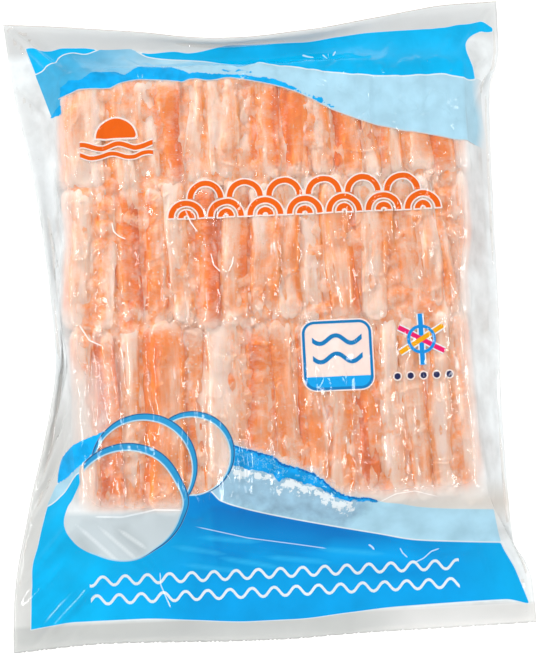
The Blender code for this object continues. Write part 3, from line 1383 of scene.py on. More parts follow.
@dataclass
class DrapedSheet:
    """A sheet of film laid over the block by a small cloth solver.

    The sheet keeps its cut length between neighbouring points, buckles where it has more than it
    needs, falls on what lies under it, and is held along the bag's drawn-in edge.
    """

    outline: BagOutline
    relief: Relief
    start_gap: float = 1.0
    start_wrinkles: Waves = ((60.0, 25.0, 12.0), (1.0, 0.8, 0.6))
    start_height: float = 0.8
    edge_waves: Waves = ((95.0, 48.0), (0.9, 0.5))
    slack_across: float = 1.007
    slack_reach: float = 16.0
    cut_length: float = 358.0
    pull: float = 0.03
    slack_pull: float = 0.004
    passes: int = 3
    squeeze: float = 0.5
    stiffness: float = 0.12
    grip: float = 0.5
    damping: float = 0.10
    clearance: float = 0.45
    table_gap: float = 0.6
    border_lift: float = 3.2
    seal_width: float = 4.0
    stages: tuple[tuple[float, int], ...] = ((5.0, 700), (2.4, 450), (1.0, 260))
    seed: int = 3

    def edge_height(self, x: Array, y: Array) -> Array:
        """Height of the sealed edge over the table: slow waves."""
        return self.border_lift + Ripple(self.seed, *self.edge_waves).at(x, y)

    def start(self, columns: int, lines: int) -> Array:
        """Lay the sheet loosely over the block before it settles.

        Args:
            columns: number of grid points across.
            lines: number of grid points along.

        Returns:
            The grid of x, y, z places.
        """
        spread = self.outline.spread(columns, lines)
        x, y = spread[..., 0], spread[..., 1]
        wrinkles = Ripple(self.seed + 1, *self.start_wrinkles).at(x, y)
        rest = np.maximum(self.relief.at(x, y) + self.start_gap, self.edge_height(x, y))
        return np.dstack([x, y, rest + np.abs(wrinkles) * self.start_height])

    @staticmethod
    def finer(sheet: Array, columns: int, lines: int) -> Array:
        """Resample a settled sheet onto a finer grid.

        Args:
            sheet: grid of x, y, z places.
            columns: number of points across in the finer grid.
            lines: number of points along in it.

        Returns:
            The finer grid.
        """
        for axis, count in ((1, columns), (0, lines)):
            rows = np.moveaxis(sheet, axis, -1)
            at = np.linspace(0, rows.shape[-1] - 1, count)
            flat = [smooth_curve(list(enumerate(row)), at) for row in rows.reshape(-1, rows.shape[-1])]
            sheet = np.moveaxis(np.reshape(flat, (*rows.shape[:-1], count)), -1, axis)
        return np.ascontiguousarray(sheet)

    def hold(self, near: Array, far: Array, cut: Array | float) -> None:
        """Bring facing points back to their cut distance, more firmly when stretched than squeezed.

        Args:
            near: x, y, z places, changed in place.
            far: the neighbour of each, changed in place.
            cut: how far apart they were cut.
        """
        gap = far - near
        length = np.sqrt((gap * gap).sum(-1, keepdims=True))
        firmness = np.where(length > cut, 1.0, self.squeeze)
        shift = gap * (0.5 * firmness * (1 - cut / np.maximum(length, 1e-6)))
        near += shift
        far -= shift

    def settle(self, sheet: Array, rounds: int) -> Array:
        """Let the sheet fall and find its shape.

        Args:
            sheet: grid of x, y, z places.
            rounds: how many steps to take.

        Returns:
            The settled grid.
        """
        lines, columns = sheet.shape[:2]
        dy = self.cut_length / (lines - 1)
        dx = self.cut_widths(columns, lines)[:, None, None] / (columns - 1)
        rim = np.ones((lines, columns), bool)
        deep = max(1, int(self.seal_width / dy))
        rim[deep:-deep, deep:-deep] = False
        held = np.hstack([self.outline.spread(columns, lines)[rim], np.zeros((rim.sum(), 1))])
        held[:, 2] = self.edge_height(held[:, 0], held[:, 1])
        over_block = self.relief.filled(sheet[..., 0], sheet[..., 1])
        fall = np.where(over_block, self.pull, self.slack_pull)
        last = sheet.copy()
        for _ in range(rounds):
            motion = (sheet - last) * (1 - self.damping)
            last = sheet.copy()
            sheet = sheet + motion
            sheet[..., 2] -= fall
            for _ in range(self.passes):
                self.keep_lengths(sheet, dx, dy)
                sheet[rim] = held
            self.resist_bending(sheet)
            under = self.relief.at(sheet[..., 0], sheet[..., 1])
            floor = np.maximum(under + self.clearance, self.table_gap)
            touching = sheet[..., 2] < floor
            sheet[..., 2] = np.maximum(sheet[..., 2], floor)
            slid = last[..., :2] + (1 - self.grip) * (sheet[..., :2] - last[..., :2])
            sheet[..., :2] = np.where(touching[..., None], slid, sheet[..., :2])
            sheet[rim] = held
        return sheet

    def cut_widths(self, columns: int, lines: int) -> Array:
        """Work out how wide the film is cut along each of the grid's lines.

        Args:
            columns: number of grid points along a line.
            lines: number of lines.

        Returns:
            For each line, the length of a string pulled tight over the pack there, and a little slack.
        """
        spread = self.outline.spread(columns, lines)
        x, y = spread[..., 0], spread[..., 1]
        heights = np.maximum(self.relief.at(x, y) + self.clearance, self.edge_height(x, y))
        widths = np.array([self.taut_length(line, height) for line, height in zip(x, heights)])
        blur(widths, int((self.slack_reach / (self.cut_length / lines)) ** 2))
        return widths * self.slack_across

    @staticmethod
    def taut_length(places: Array, heights: Array) -> float:
        """Measure a string that is pulled tight over a profile.

        Args:
            places: places along the profile, in rising order.
            heights: the profile's height at each.

        Returns:
            The string's length.
        """
        corners: list[tuple[float, float]] = []
        for x, z in zip(places.tolist(), heights.tolist()):
            while len(corners) > 1:
                (ax, az), (bx, bz) = corners[-2:]
                if (bx - ax) * (z - az) - (bz - az) * (x - ax) < 0:
                    break
                corners.pop()
            corners.append((x, z))
        return sum(math.hypot(b[0] - a[0], b[1] - a[1]) for a, b in zip(corners, corners[1:]))

    def keep_lengths(self, sheet: Array, dx: Array, dy: float) -> None:
        """Bring every pair of neighbours in the grid back to the distance they were cut to.

        Args:
            sheet: grid of x, y, z places, changed in place.
            dx: distance across, one for each line.
            dy: distance along.
        """
        lines, columns = sheet.shape[:2]
        for first in (0, 1):
            stop = first + (columns - first) // 2 * 2
            self.hold(sheet[:, first:stop:2], sheet[:, first + 1 : stop : 2], dx)
            stop = first + (lines - first) // 2 * 2
            low, high = sheet[first:stop:2], sheet[first + 1 : stop : 2]
            slant = np.hypot(dx[first:stop:2], dy)
            self.hold(low, high, dy)
            self.hold(low[:, :-1], high[:, 1:], slant)
            self.hold(low[:, 1:], high[:, :-1], slant)

    def resist_bending(self, sheet: Array) -> None:
        """Even out sharp kinks, and leave wide curves alone.

        Args:
            sheet: grid of x, y, z places, changed in place.
        """
        inner = (slice(1, -1), slice(1, -1))
        curl = np.zeros_like(sheet)
        curl[inner] = self.off_mean(sheet)
        sheet[inner] -= self.stiffness * self.off_mean(curl)

    @staticmethod
    def off_mean(grid: Array) -> Array:
        """How far the mean of each inner point's four neighbours is from it.

        Args:
            grid: x, y, z rows for each point of a grid.

        Returns:
            The difference for each point that isn't on the grid's edge.
        """
        inner = slice(1, -1)
        around = grid[:-2, inner] + grid[2:, inner] + grid[inner, :-2] + grid[inner, 2:]
        return around / 4 - grid[inner, inner]

    def drape(self, pitch: float, effort: float) -> Array:
        """Drape coarse to fine, so that large folds come first and small ones on them.

        Args:
            pitch: spacing of the finest grid.
            effort: factor on the number of steps.

        Returns:
            The finest grid of x, y, z places.
        """
        sheet = None
        for coarsening, rounds in self.stages:
            columns = int(round(2 * self.outline.half_width / (pitch * coarsening))) + 1
            lines = int(round(2 * self.outline.half_length / (pitch * coarsening))) + 1
            sheet = self.start(columns, lines) if sheet is None else self.finer(sheet, columns, lines)
            sheet = self.settle(sheet, int(rounds * effort))
            LOG.info("film settled on a grid of %d by %d", columns, lines)
        return sheet


NO_DISC = ("-disc_a", "-disc_b", "-disc_c")  # clips that keep an ink out of the round windows
ON_BLUE = ("blue_field", *NO_DISC)
OUTLINE = "cbbfb9"


def outline(stroke: Ink, rim: float, clips: tuple[str, ...] | None = None) -> Ink:
    """Make the pale outline that lies under a stroke, a rim wider and clipped as it is or by clips."""
    clips = stroke.clips if clips is None else clips
    return replace(stroke, colour=OUTLINE, cover=0.92, half=stroke.half + rim, clips=clips)


@dataclass(frozen=True)
class Print:
    """The front film's print, and the painted shade and highlights laid with it, as fields whose edges are
    signed distances in millimetres.

    A distance is negative inside a field. All places are on the table plane, seen from above.
    """

    upper_edge: Curve = (
        (-128, 158.5), (-113, 156.5), (-106, 158.3), (-95, 158.2), (-82, 156.5), (-69, 157), (-58, 154),
        (-44, 155.3), (-35, 154), (-11, 157.5), (29, 157.5), (51, 160), (70, 161.3), (104, 160.6),
        (124, 163), (131, 164), (140, 160),
    )
    sky_lower: Curve = (
        (-124, 141.5), (-115, 144), (-110, 146.3), (-108, 150.7), (-104, 153.5), (-100, 154.4),
        (-94, 153.4), (-86, 156.5), (-78, 158.5), (-69, 157.5), (-58, 151), (-48, 149.3), (-28, 148),
        (-13, 144), (1, 140), (27, 134.5), (54, 129.6), (84, 127.2), (104, 127.6), (112, 126),
        (119, 125), (124, 126.5), (127, 129),
    )
    sky_right: Curve = (
        (126, 125.5), (132, 124.3), (137.5, 122.3), (143, 121), (147, 121.2), (151, 123), (154.5, 127),
        (156.8, 132.5), (158, 141),
    )
    window_top: Curve = (
        (-107, 122.5), (-100, 125.2), (-95, 127.3), (-79, 127.2), (-73, 129.8), (-63, 131.5),
        (-53, 130.9), (-39, 129.3), (-34, 130.8), (-23, 129.4), (-15, 130.4), (-2, 128.6), (12, 125.1),
        (26, 119.8), (43, 110), (69, 99.8), (95, 93.7), (116, 89.4), (130, 89),
    )
    crest: Curve = (
        (-106, 129), (-100, 132.5), (-93.5, 133.2), (-87, 137.3), (-76, 137.8), (-70, 135.6),
        (-65, 138.3), (-54, 140.8), (-47, 141), (-43, 137.8), (-39, 136.2), (-34, 134.5), (-20, 133.4),
        (-11, 132.4), (3, 130.4), (13, 128), (24, 122.8), (30, 117),
    )
    left_slant: Curve = ((-128.0, 160.0), (-111.0, 112.0))
    strip_left: Curve = ((-115.0, -86.0), (-122.0, -99.0))
    pale_right: Curve = ((89, 130), (94, 130), (99, 129.5), (108, 129), (118, 129), (127, 130))
    discs: tuple[tuple[float, float, float, float], ...] = (
        (-76.0, -100.0, 32.0, 4.2),
        (-67.0, -81.0, 28.5, 3.8),
        (-41.0, -75.0, 22.5, 3.2),
    )
    first_disc_reach: Curve = (
        (-180, 33), (-164, 36.7), (-148, 36.1), (-137, 34.6), (-124, 32.5), (-88, 30.1), (-62, 28.1),
        (-47, 28.6), (-18, 30.5), (0, 32.2), (25, 31), (60, 32), (140, 32.2), (156, 28), (172, 30),
        (180, 33),
    )
    ring_lean: tuple[float, float] = (-0.45, -0.85)
    sea_upper: Curve = (
        (-140, -101), (-122, -99), (-112, -93), (-102, -82.7), (-90, -80), (-60, -88), (-42, -95.6),
        (-34, -94.7), (-27, -100.8), (-13, -105.9), (4, -110.4), (30, -116.4), (56, -121.9),
        (77, -126.3), (99, -128.2), (125, -130),
    )
    sea_lower: Curve = (
        (-134, -165), (-107, -162), (-74, -162), (-44, -164), (-14, -166), (11, -166), (39, -164),
        (67, -162), (124, -161), (137, -164),
    )
    sea_left: Curve = (
        (-166, -133), (-130.5, -130.6), (-119, -127.2), (-99, -121.8), (-93, -118), (-80, -114),
    )
    sea_right: Curve = ((-166, 138), (-145, 131), (-129, 123), (-100, 116))
    swell_upper: Curve = (
        (-20, -71), (-9, -75), (2, -79), (5.3, -81.8), (13, -85.1), (22, -88.1), (30, -94.4),
        (36, -99.8), (41, -101.5), (52, -103), (59, -105.5), (69, -107), (79, -109), (100, -111),
        (118, -112),
    )
    swell_depth: Curve = (
        (-24, 11), (-10, 10), (5, 8.5), (11, 6), (18, 7.5), (25, 5), (33, 3), (41, 2.4), (55, 1.4),
        (60, -2),
    )
    left_swash: Curve = (
        (-116, -90), (-114.5, -82), (-112.4, -74), (-108, -70), (-103, -67), (-91, -62.5), (-84, -59.5),
    )
    swash_lower: Curve = ((-116, -88), (-108, -83.6), (-102, -79.5), (-94, -72.7), (-86, -66))
    # Painted highlight streaks and painted shade on the grey film below the block, in the first round
    # window.
    window_painted_highlights: tuple[Curve, ...] = (
        ((-108, -106), (-76, -139)), ((-96, -108), (-70, -134)), ((-84, -112), (-66, -126)),
    )
    window_painted_shades: tuple[Curve, ...] = (((-105, -113), (-96, -132)), ((-86, -110), (-66, -129)))
    # Painted sheen and shade on the film over the sea: light streaks, dark streaks and lighter bands.
    sea_painted_sheen_streaks: tuple[Curve, ...] = (
        ((-58, -123), (-22, -130)), ((-34, -130), (8, -139)), ((-44, -119), (-2, -124)),
        ((-54, -133), (-12, -140)), ((18, -128), (66, -134)), ((-10, -131), (36, -137)),
    )
    sea_painted_shades: tuple[Curve, ...] = (((-46, -126), (-10, -131)), ((-20, -120), (34, -126)))
    sea_painted_light_bands: tuple[Curve, ...] = (((12, -130), (92, -137)), ((-104, -146), (-70, -146)))
    fans_left: float = -50.0
    fans_base: float = 52.5
    fans_pitch: float = 21.5
    fans_count: int = 7
    fans_step: float = 10.5  # how much higher the upper line of fans stands
    sun: tuple[float, float, float] = (-76.0, 99.0, 11.0)  # middle x, y and reach, as in the next two
    label: tuple[float, float, float] = (39.0, -26.0, 19.5)
    label_rounding: float = 7.5
    star: tuple[float, float, float] = (84.5, -19.5, 14.0)
    dot_pitch: float = 7.0

    @staticmethod
    def past(along: Array, across: Array, edge: Curve) -> Array:
        """Distance past a curve that gives across for along: negative short of it."""
        slope = smooth_curve(edge, along + 0.5) - smooth_curve(edge, along - 0.5)
        return (across - smooth_curve(edge, along)) / np.sqrt(1 + slope * slope)

    @staticmethod
    def beside(x: Array, y: Array, line: Curve) -> Array:
        """Distance from a straight line, positive on its right, seen from its first point."""
        (ax, ay), (bx, by) = line
        return ((x - ax) * (by - ay) - (y - ay) * (bx - ax)) / math.hypot(bx - ax, by - ay)

    @staticmethod
    def streaks(x: Array, y: Array, lines: tuple[Curve, ...], fade: float) -> Array:
        """Measure how far each place is from the nearest of several straight streaks.

        Args:
            x: places across the pack.
            y: places along the pack.
            lines: the two ends of each streak.
            fade: what the ends add to the distance, in millimetres, so that a streak tapers off.

        Returns:
            The distances, 60 mm at most.
        """
        nearest = np.full(np.shape(x), 60.0)
        for (ax, ay), (bx, by) in lines:
            length = math.hypot(bx - ax, by - ay)
            along = ((x - ax) * (bx - ax) + (y - ay) * (by - ay)) / length**2
            off = np.abs((x - ax) * (by - ay) - (y - ay) * (bx - ax)) / length
            nearest = np.minimum(nearest, off + 4 * fade * np.maximum(np.abs(along - 0.5) - 0.25, 0))
        return nearest

    @staticmethod
    def wave(x: Array, y: Array, level: float, height: float, length: float, phase: float = 0.0) -> Array:
        """Measure how far places are above a sine line.

        Args:
            x: places across the pack.
            y: places along the pack.
            level: the line's middle height.
            height: how far it swings up and down.
            length: length of one wave.
            phase: turn of the wave at nought.

        Returns:
            The distances, negative below the line.
        """
        turn = 2 * np.pi / length
        slope = height * turn * np.cos(turn * x + phase)
        return (y - level - height * np.sin(turn * x + phase)) / np.sqrt(1 + slope * slope)

    def fields(self, x: Array, y: Array) -> dict[str, Array]:
        """Work out every printed field at many places, by attribute name."""
        return self.water(x, y) | self.bare_film(x, y) | self.rings(x, y) | self.emblems(x, y)

    def water(self, x: Array, y: Array) -> dict[str, Array]:
        """The blue and pale fields at both ends, the brushed crests beside them, and the painted shade and
        sheen on the sea.

        Args:
            x: places across the pack.
            y: places along the pack.

        Returns:
            Signed distances by attribute name.
        """
        top = np.maximum(self.past(x, y, self.upper_edge), x - 139)
        beyond_left = self.beside(x, y, self.left_slant)
        sky_edge = self.past(x, y, self.sky_lower)
        sky_side = self.past(y, x, self.sky_right)
        window = self.past(x, y, self.window_top)
        sky = np.maximum.reduce([top, beyond_left, -sky_edge, sky_side])
        pale_bound = np.where(y < 128, self.past(y, x, self.pale_right), sky_side)
        pale_top = np.maximum.reduce([top, beyond_left, -window, sky_edge, pale_bound])
        left_lobe = np.maximum.reduce([beyond_left, x + 106, y - 142, 113 - y])
        over_crest = self.past(x, y, self.crest)
        crest = np.maximum.reduce([over_crest, -window, -x - 106, x - 38])
        tail = np.maximum.reduce([x + 105.8, 113.2 - y, (y - 114.2) - 0.75 * (x + 112)])
        streak = np.maximum.reduce([np.abs(over_crest - 2.2) - 0.35, -17 - x, x])
        dots = np.maximum.reduce([np.abs(window - 1.6) - 0.4, 28 - x, x - 46])
        swell = self.past(x, y, self.swell_upper)
        swell_floor = swell + smooth_curve(self.swell_depth, x)
        swash_floor = self.past(x, y, self.swash_lower)
        swash = np.maximum.reduce([self.past(x, y, self.left_swash), -swash_floor, x + 84, -115.4 - x])
        right_edge = self.past(y, x, self.sea_right)
        sea_top = self.past(x, y, self.sea_upper)
        sea_sides = [-self.past(x, y, self.sea_lower), -self.past(y, x, self.sea_left), right_edge]
        pale_low = np.maximum.reduce([swell, -sea_top, right_edge, -40 - x])
        pale_strip = np.maximum.reduce([swash_floor, -sea_top, x + 84, self.beside(x, y, self.strip_left)])
        # Painted shade: a soft darker band of the sea under its upper edge, where the film slopes down from
        # the block, fading to both sides.
        deep = np.maximum.reduce([-sea_top - 14.0, (x - 66.0) * 0.35, (-52.0 - x) * 0.4])
        return {
            "pale_field": np.minimum.reduce([pale_top, left_lobe, pale_low, pale_strip]),
            "pale_edge": 126.5 - x - 1.5 * np.sin(y / 6.0),
            "pale_left": np.maximum(x + 72.0, 60.0 - y),
            "foam_field": np.maximum(pale_low, x - 44 + 6 * np.sin(y / 4.0)),
            "splash": np.maximum(np.abs(swell_floor + 2.5) - 1.5, np.abs(x - 8) - 34),
            "blue_field": np.minimum(sky, np.maximum.reduce([sea_top, *sea_sides])),
            "mid_field": np.where(y > -60, 60.0, np.maximum(-70.0 - x, x - 128.0)),
            "painted_shade_below_block": np.where(y > -60, 30.0, deep),
            "brush_field": np.minimum.reduce([crest, tail, streak, dots, swash]),
            "swell_field": np.maximum.reduce([swell, -swell_floor, -24 - x]),
            "swell_top": swell,
            "window_edge": window,
            "window_span": np.maximum(-107 - x, x - 122),
            "sea_painted_light_bands": self.streaks(x, y, self.sea_painted_light_bands, 10.0),
            "sea_painted_shades": self.streaks(x, y, self.sea_painted_shades, 6.0),
            "sea_painted_sheen_streaks": self.streaks(x, y, self.sea_painted_sheen_streaks, 2.2),
        }

    def bare_film(self, x: Array, y: Array) -> dict[str, Array]:
        """The milky stretches of film that has no print, at the borders and windows, with painted shade and
        painted highlight streaks.

        Args:
            x: places across the pack.
            y: places along the pack.

        Returns:
            Signed distances by attribute name.
        """
        return {
            # Painted shade: the lower left border is greyer, where its sloping film faces away from the
            # light.
            "left_border_painted_shade": np.maximum(x + 96.0, y + 40.0),
            "upper_border": 154.0 - y,
            "lower_strip": y + 163.0,
            "lower_strip_right": np.maximum(y + 162.0, 70.0 - x),
            "block_foot": np.maximum(45.0 - x, np.abs(y + 108.0) - 7.0),
            "below_block": y + 106.0 + 0.02 * x,
            "window_painted_shades": self.streaks(x, y, self.window_painted_shades, 7.0),
            "window_painted_highlights": self.streaks(x, y, self.window_painted_highlights, 1.6),
        }

    def rings(self, x: Array, y: Array) -> dict[str, Array]:
        """The three round windows at the lower left, with strokes that taper off below.

        Args:
            x: places across the pack.
            y: places along the pack.

        Returns:
            Signed distances by attribute name.
        """
        found = {"first_ring_span": -99.0 - x}
        for name, (cx, cy, radius, width) in zip("abc", self.discs):
            half = width / 2
            away_x, away_y = half * self.ring_lean[0], half * self.ring_lean[1]
            if name == "a":
                radius = smooth_curve(self.first_disc_reach, np.degrees(np.arctan2(y - cy, x - cx)))
            found[f"disc_{name}"] = np.hypot(x - cx, y - cy) - radius
            found[f"hole_{name}"] = np.hypot(x - cx - away_x, y - cy - away_y) - radius + half
        return found

    def emblems(self, x: Array, y: Array) -> dict[str, Array]:
        """Plain ornaments: a band of wave fans, a sun over water, a label, a star and wavy lines.

        Args:
            x: places across the pack.
            y: places along the pack.

        Returns:
            Signed distances by attribute name.
        """
        columns = (x - self.fans_left) / self.fans_pitch
        low_middle = np.clip(np.round(columns - 0.5), 0, self.fans_count - 1) + 0.5
        high_middle = np.clip(np.round(columns), 1, self.fans_count - 1)
        over_base = y - self.fans_base
        low = np.hypot((columns - low_middle) * self.fans_pitch, over_base)
        high = np.hypot((columns - high_middle) * self.fans_pitch, over_base - self.fans_step)
        sun_x, sun_y, sun_radius = self.sun
        star_x, star_y, star_reach = self.star
        label_x, label_y, label_reach = self.label
        corner = label_reach - self.label_rounding
        dx, dy = np.abs(x - label_x) - corner, np.abs(y - label_y) - corner
        past_corner = np.hypot(np.maximum(dx, 0), np.maximum(dy, 0)) + np.minimum(np.maximum(dx, dy), 0)
        label = past_corner - self.label_rounding
        dot = np.clip(np.round((x - star_x) / self.dot_pitch), -2, 2) * self.dot_pitch
        found = {
            "fan_low": low,
            "fan_high": high,
            "fan_low_disc": np.maximum(low - 10.6, -over_base),
            "fan_base": -over_base,
            "fan_foot": -over_base - 0.8,
            "fan_high_base": self.fans_step - over_base,
            "sun": np.maximum(np.hypot(x - sun_x, y - sun_y) - sun_radius, sun_y - y),
            "ripple_high": self.wave(x, y, sun_y - 4.5, 1.3, 20.0),
            "ripple_low": self.wave(x, y, sun_y - 9.8, 1.3, 20.0, 1.2),
            "ripple_span": np.abs(x - sun_x) - 20.0,
            "label": label,
            "label_foot": np.maximum(label + 1.5, y - label_y + 11.5),
            "label_wave_high": self.wave(x, y, label_y + 8.5, 2.2, 17.0),
            "label_wave_low": self.wave(x, y, label_y - 1.5, 2.2, 17.0),
            "label_span": np.abs(x - label_x) - 13.5,
            "star_reach": np.hypot(x - star_x, y - star_y) - star_reach,
            "dots": np.hypot(x - star_x - dot, y - star_y + 19.5),
            "line_high": self.wave(x, y, -140.5, 2.4, 12.0),
            "line_low": self.wave(x, y, -150.5, 2.4, 12.0, 2.0),
            "line_span": np.abs(x) - 100.0,
        }
        for k in range(3):
            turn = k * math.pi / 3
            found[f"arm_{k}"] = (x - star_x) * math.cos(turn) + (y - star_y) * math.sin(turn)
        return found

    @staticmethod
    def water_inks() -> list[Ink]:
        """List the inks of the fields of water, the tints of the bare film among them, and the painted
        shade and highlights on both.

        Returns:
            The inks in the order in which they are laid.
        """
        off_blue = ("-blue_field", "-pale_field")
        return [
            Ink("pale_field", "93b8c8", 0.92, clips=NO_DISC, mottle=0.10, mottle_size=12.0),
            Ink(
                "pale_left", "3595bc", 0.92, softness=26.0,
                clips=("pale_field",), mottle=0.10, mottle_size=10.0,
            ),
            Ink("pale_edge", "c2c7c9", 0.84, softness=3.0, clips=("pale_field",)),
            Ink(
                "foam_field", "80a1b4", 0.92, ragged=12.0, softness=4.0,
                clips=("-disc_c",), mottle=0.14, mottle_size=6.0,
            ),
            Ink("splash", "bfc8cc", 0.90, ragged=22.0, softness=0.5, clips=("pale_field", "-disc_c")),
            Ink("blue_field", "0097c6", 1.0, clips=NO_DISC, mottle=0.10, mottle_size=20.0),
            Ink("mid_field", "0084bc", 1.0, softness=30.0, clips=ON_BLUE, mottle=0.08, mottle_size=18.0),
            # painted shade under the block's lower edge
            Ink("painted_shade_below_block", "0062a4", 1.0, softness=12.0, clips=ON_BLUE),
            # painted light bands, painted shade and painted sheen on the sea
            Ink("sea_painted_light_bands", "0096d2", 1.0, half=3.0, softness=7.0, clips=ON_BLUE),
            Ink("sea_painted_shades", "0070ae", 1.0, half=1.5, softness=4.5, clips=ON_BLUE),
            Ink("sea_painted_sheen_streaks", "269dca", 1.0, half=0.35, softness=1.7, clips=ON_BLUE),
            Ink("blue_field", "c0c9cc", 0.92, half=0.34, clips=NO_DISC),
            Ink("brush_field", "068ec5", 1.0, ragged=3.0, clips=NO_DISC, mottle=0.18, mottle_size=7.0),
            Ink("swell_field", "097db6", 1.0, ragged=4.5, clips=NO_DISC, mottle=0.24, mottle_size=6.0),
            Ink("swell_top", "075393", 1.0, -0.5, 0.45, ragged=6.0, clips=("swell_field", *NO_DISC)),
            Ink("swell_field", "66a5c4", 0.90, -3.0, 0.22, ragged=16.0, clips=NO_DISC),
            Ink("window_edge", "c4c6c5", 0.60, half=0.28, clips=("window_span",)),
            # painted shade on the lower left border
            Ink("left_border_painted_shade", "babbb9", 0.86, softness=22.0, clips=(*off_blue, "-brush_field", *NO_DISC)),
            Ink("block_foot", "c2beb8", 0.80, softness=6.0, clips=(*off_blue, *NO_DISC)),
            Ink("below_block", "b2bcc0", 0.88, softness=1.5, clips=("disc_a",)),
            # painted shade and painted highlight streaks in the first window
            Ink("window_painted_shades", "9aa3a6", 0.90, half=1.5, softness=5.5, clips=("disc_a", "below_block")),
            Ink("window_painted_highlights", "d2d8da", 0.90, half=0.25, softness=1.3, clips=("disc_a", "below_block")),
            Ink("upper_border", "b8baba", 0.88, softness=3.0, clips=off_blue),
            Ink("upper_end", "a9a49b", 0.70, 0.25, 0.28),
        ]

    @staticmethod
    def ring_inks() -> list[Ink]:
        """List the inks of the three rings: a dark stroke, a lighter one on it, and a pale inner line.

        Returns:
            The inks in the order in which they are laid.
        """
        strokes, inner_lines = [], []
        for name, centre, half, line_half, clips in (
            ("c", -1.9, 1.3, 0.34, ("-disc_a", "-disc_b")),
            ("b", -2.2, 1.6, 0.34, ("-disc_a",)),
            ("a", -2.4, 1.8, 0.38, ("first_ring_span",)),
        ):
            dark = Ink(f"disc_{name}", "0d4571", 1.0, clips=(f"-hole_{name}", *clips))
            strokes += [dark, replace(dark, colour="237eac", centre=centre, half=half)]
            inner_lines.append(Ink(f"hole_{name}", "9abdcc", 0.88, -0.1, line_half, clips))
        return strokes + inner_lines

    @staticmethod
    def emblem_inks() -> list[Ink]:
        """List the inks of the ornaments, each orange or coloured stroke with a pale outline under it.

        Returns:
            The inks in the order in which they are laid.
        """
        orange, blue, star_blue = "c0510a", "116497", "0d74b4"
        arch = Ink("fan_high", orange, 1.0, 8.3, 1.5, ("fan_high_base", "-fan_low_disc"))
        inks = [outline(arch, 0.8), arch]
        for centre, half in ((8.3, 1.5), (3.0, 1.4)):
            arch = Ink("fan_low", orange, 1.0, centre, half, ("fan_base",))
            inks += [outline(arch, 0.8, ("fan_foot",)), arch]
        inks += [Ink("sun", OUTLINE, 0.92, 0.4, 0.6), Ink("sun", orange, 1.0)]
        for attribute, half in (("ripple_high", 1.3), ("ripple_low", 1.1)):
            stroke = Ink(attribute, orange, 1.0, half=half, clips=("ripple_span",))
            inks += [outline(stroke, 0.7), stroke]
        inks += [
            Ink("label", "e8e2de", 0.55),
            Ink("label_foot", "0f86bf", 1.0),
            Ink("label", blue, 1.0, -1.5, 0.8),
            Ink("label_wave_high", blue, 1.0, half=1.2, clips=("label_span",)),
            Ink("label_wave_low", blue, 1.0, half=1.2, clips=("label_span",)),
        ]
        arms = [
            Ink(f"arm_{k}", colour, 1.0, half=1.3, clips=("star_reach",))
            for k, colour in enumerate((star_blue, "bd1957", "c2890c"))
        ]
        dots = Ink("dots", "202445", 1.0, half=1.8)
        inks += [replace(arm, colour="c4c8ca", cover=0.90, half=2.0) for arm in arms] + arms
        inks += [Ink("star_reach", star_blue, 1.0, -7.0, 0.9), outline(dots, 0.7), dots]
        for line in ("line_high", "line_low"):
            inks.append(Ink(line, "bfc8cc", 0.92, half=0.7, clips=("line_span",)))
        return inks

    def inks(self) -> tuple[Ink, ...]:
        """List all the inks.

        Returns:
            The inks in the order in which they are laid.
        """
        lower_strips = [
            Ink("lower_strip", "aaacaa", 0.86, softness=1.0, clips=("-blue_field",)),
            Ink("lower_strip_right", "cfcecc", 0.90, softness=30.0, clips=("-blue_field", "lower_strip")),
        ]
        return (*self.water_inks(), *self.ring_inks(), *lower_strips, *self.emblem_inks())


@dataclass(frozen=True)
class Fold:
    """A raised crease in the film: the points it runs through, its height and half width."""

    route: Curve
    height: float = 0.6
    half_width: float = 1.3

    def nearness(self, x: Array, y: Array) -> tuple[Array, Array]:
        """Measure how near each place is to the crease.

        Args:
            x: places across the pack.
            y: places along the pack.

        Returns:
            The distance from the crease's line, positive on its left side and negative on its right,
            and a share that fades out towards its two ends.
        """
        away, fading = np.full(x.shape, np.inf), np.zeros(x.shape)
        spans = list(zip(self.route, self.route[1:]))
        for number, ((ax, ay), (bx, by)) in enumerate(spans):
            length = math.hypot(bx - ax, by - ay)
            held = np.clip(((x - ax) * (bx - ax) + (y - ay) * (by - ay)) / length**2, 0, 1)
            left = np.where((bx - ax) * (y - ay) - (by - ay) * (x - ax) > 0, 1.0, -1.0)
            here = np.hypot(x - ax - held * (bx - ax), y - ay - held * (by - ay))
            fade = ease(held * 4) if number == 0 else np.ones_like(held)
            fade = fade * (ease((1 - held) * 4) if number == len(spans) - 1 else 1.0)
            nearer = here < np.abs(away)
            away, fading = np.where(nearer, here * left, away), np.where(nearer, fade, fading)
        return away, fading

    def lift(self, x: Array, y: Array) -> Array:
        """How far the crease lifts the film at each place."""
        away, fading = self.nearness(x, y)
        return self.height * fading * np.exp(-((away / self.half_width) ** 2))


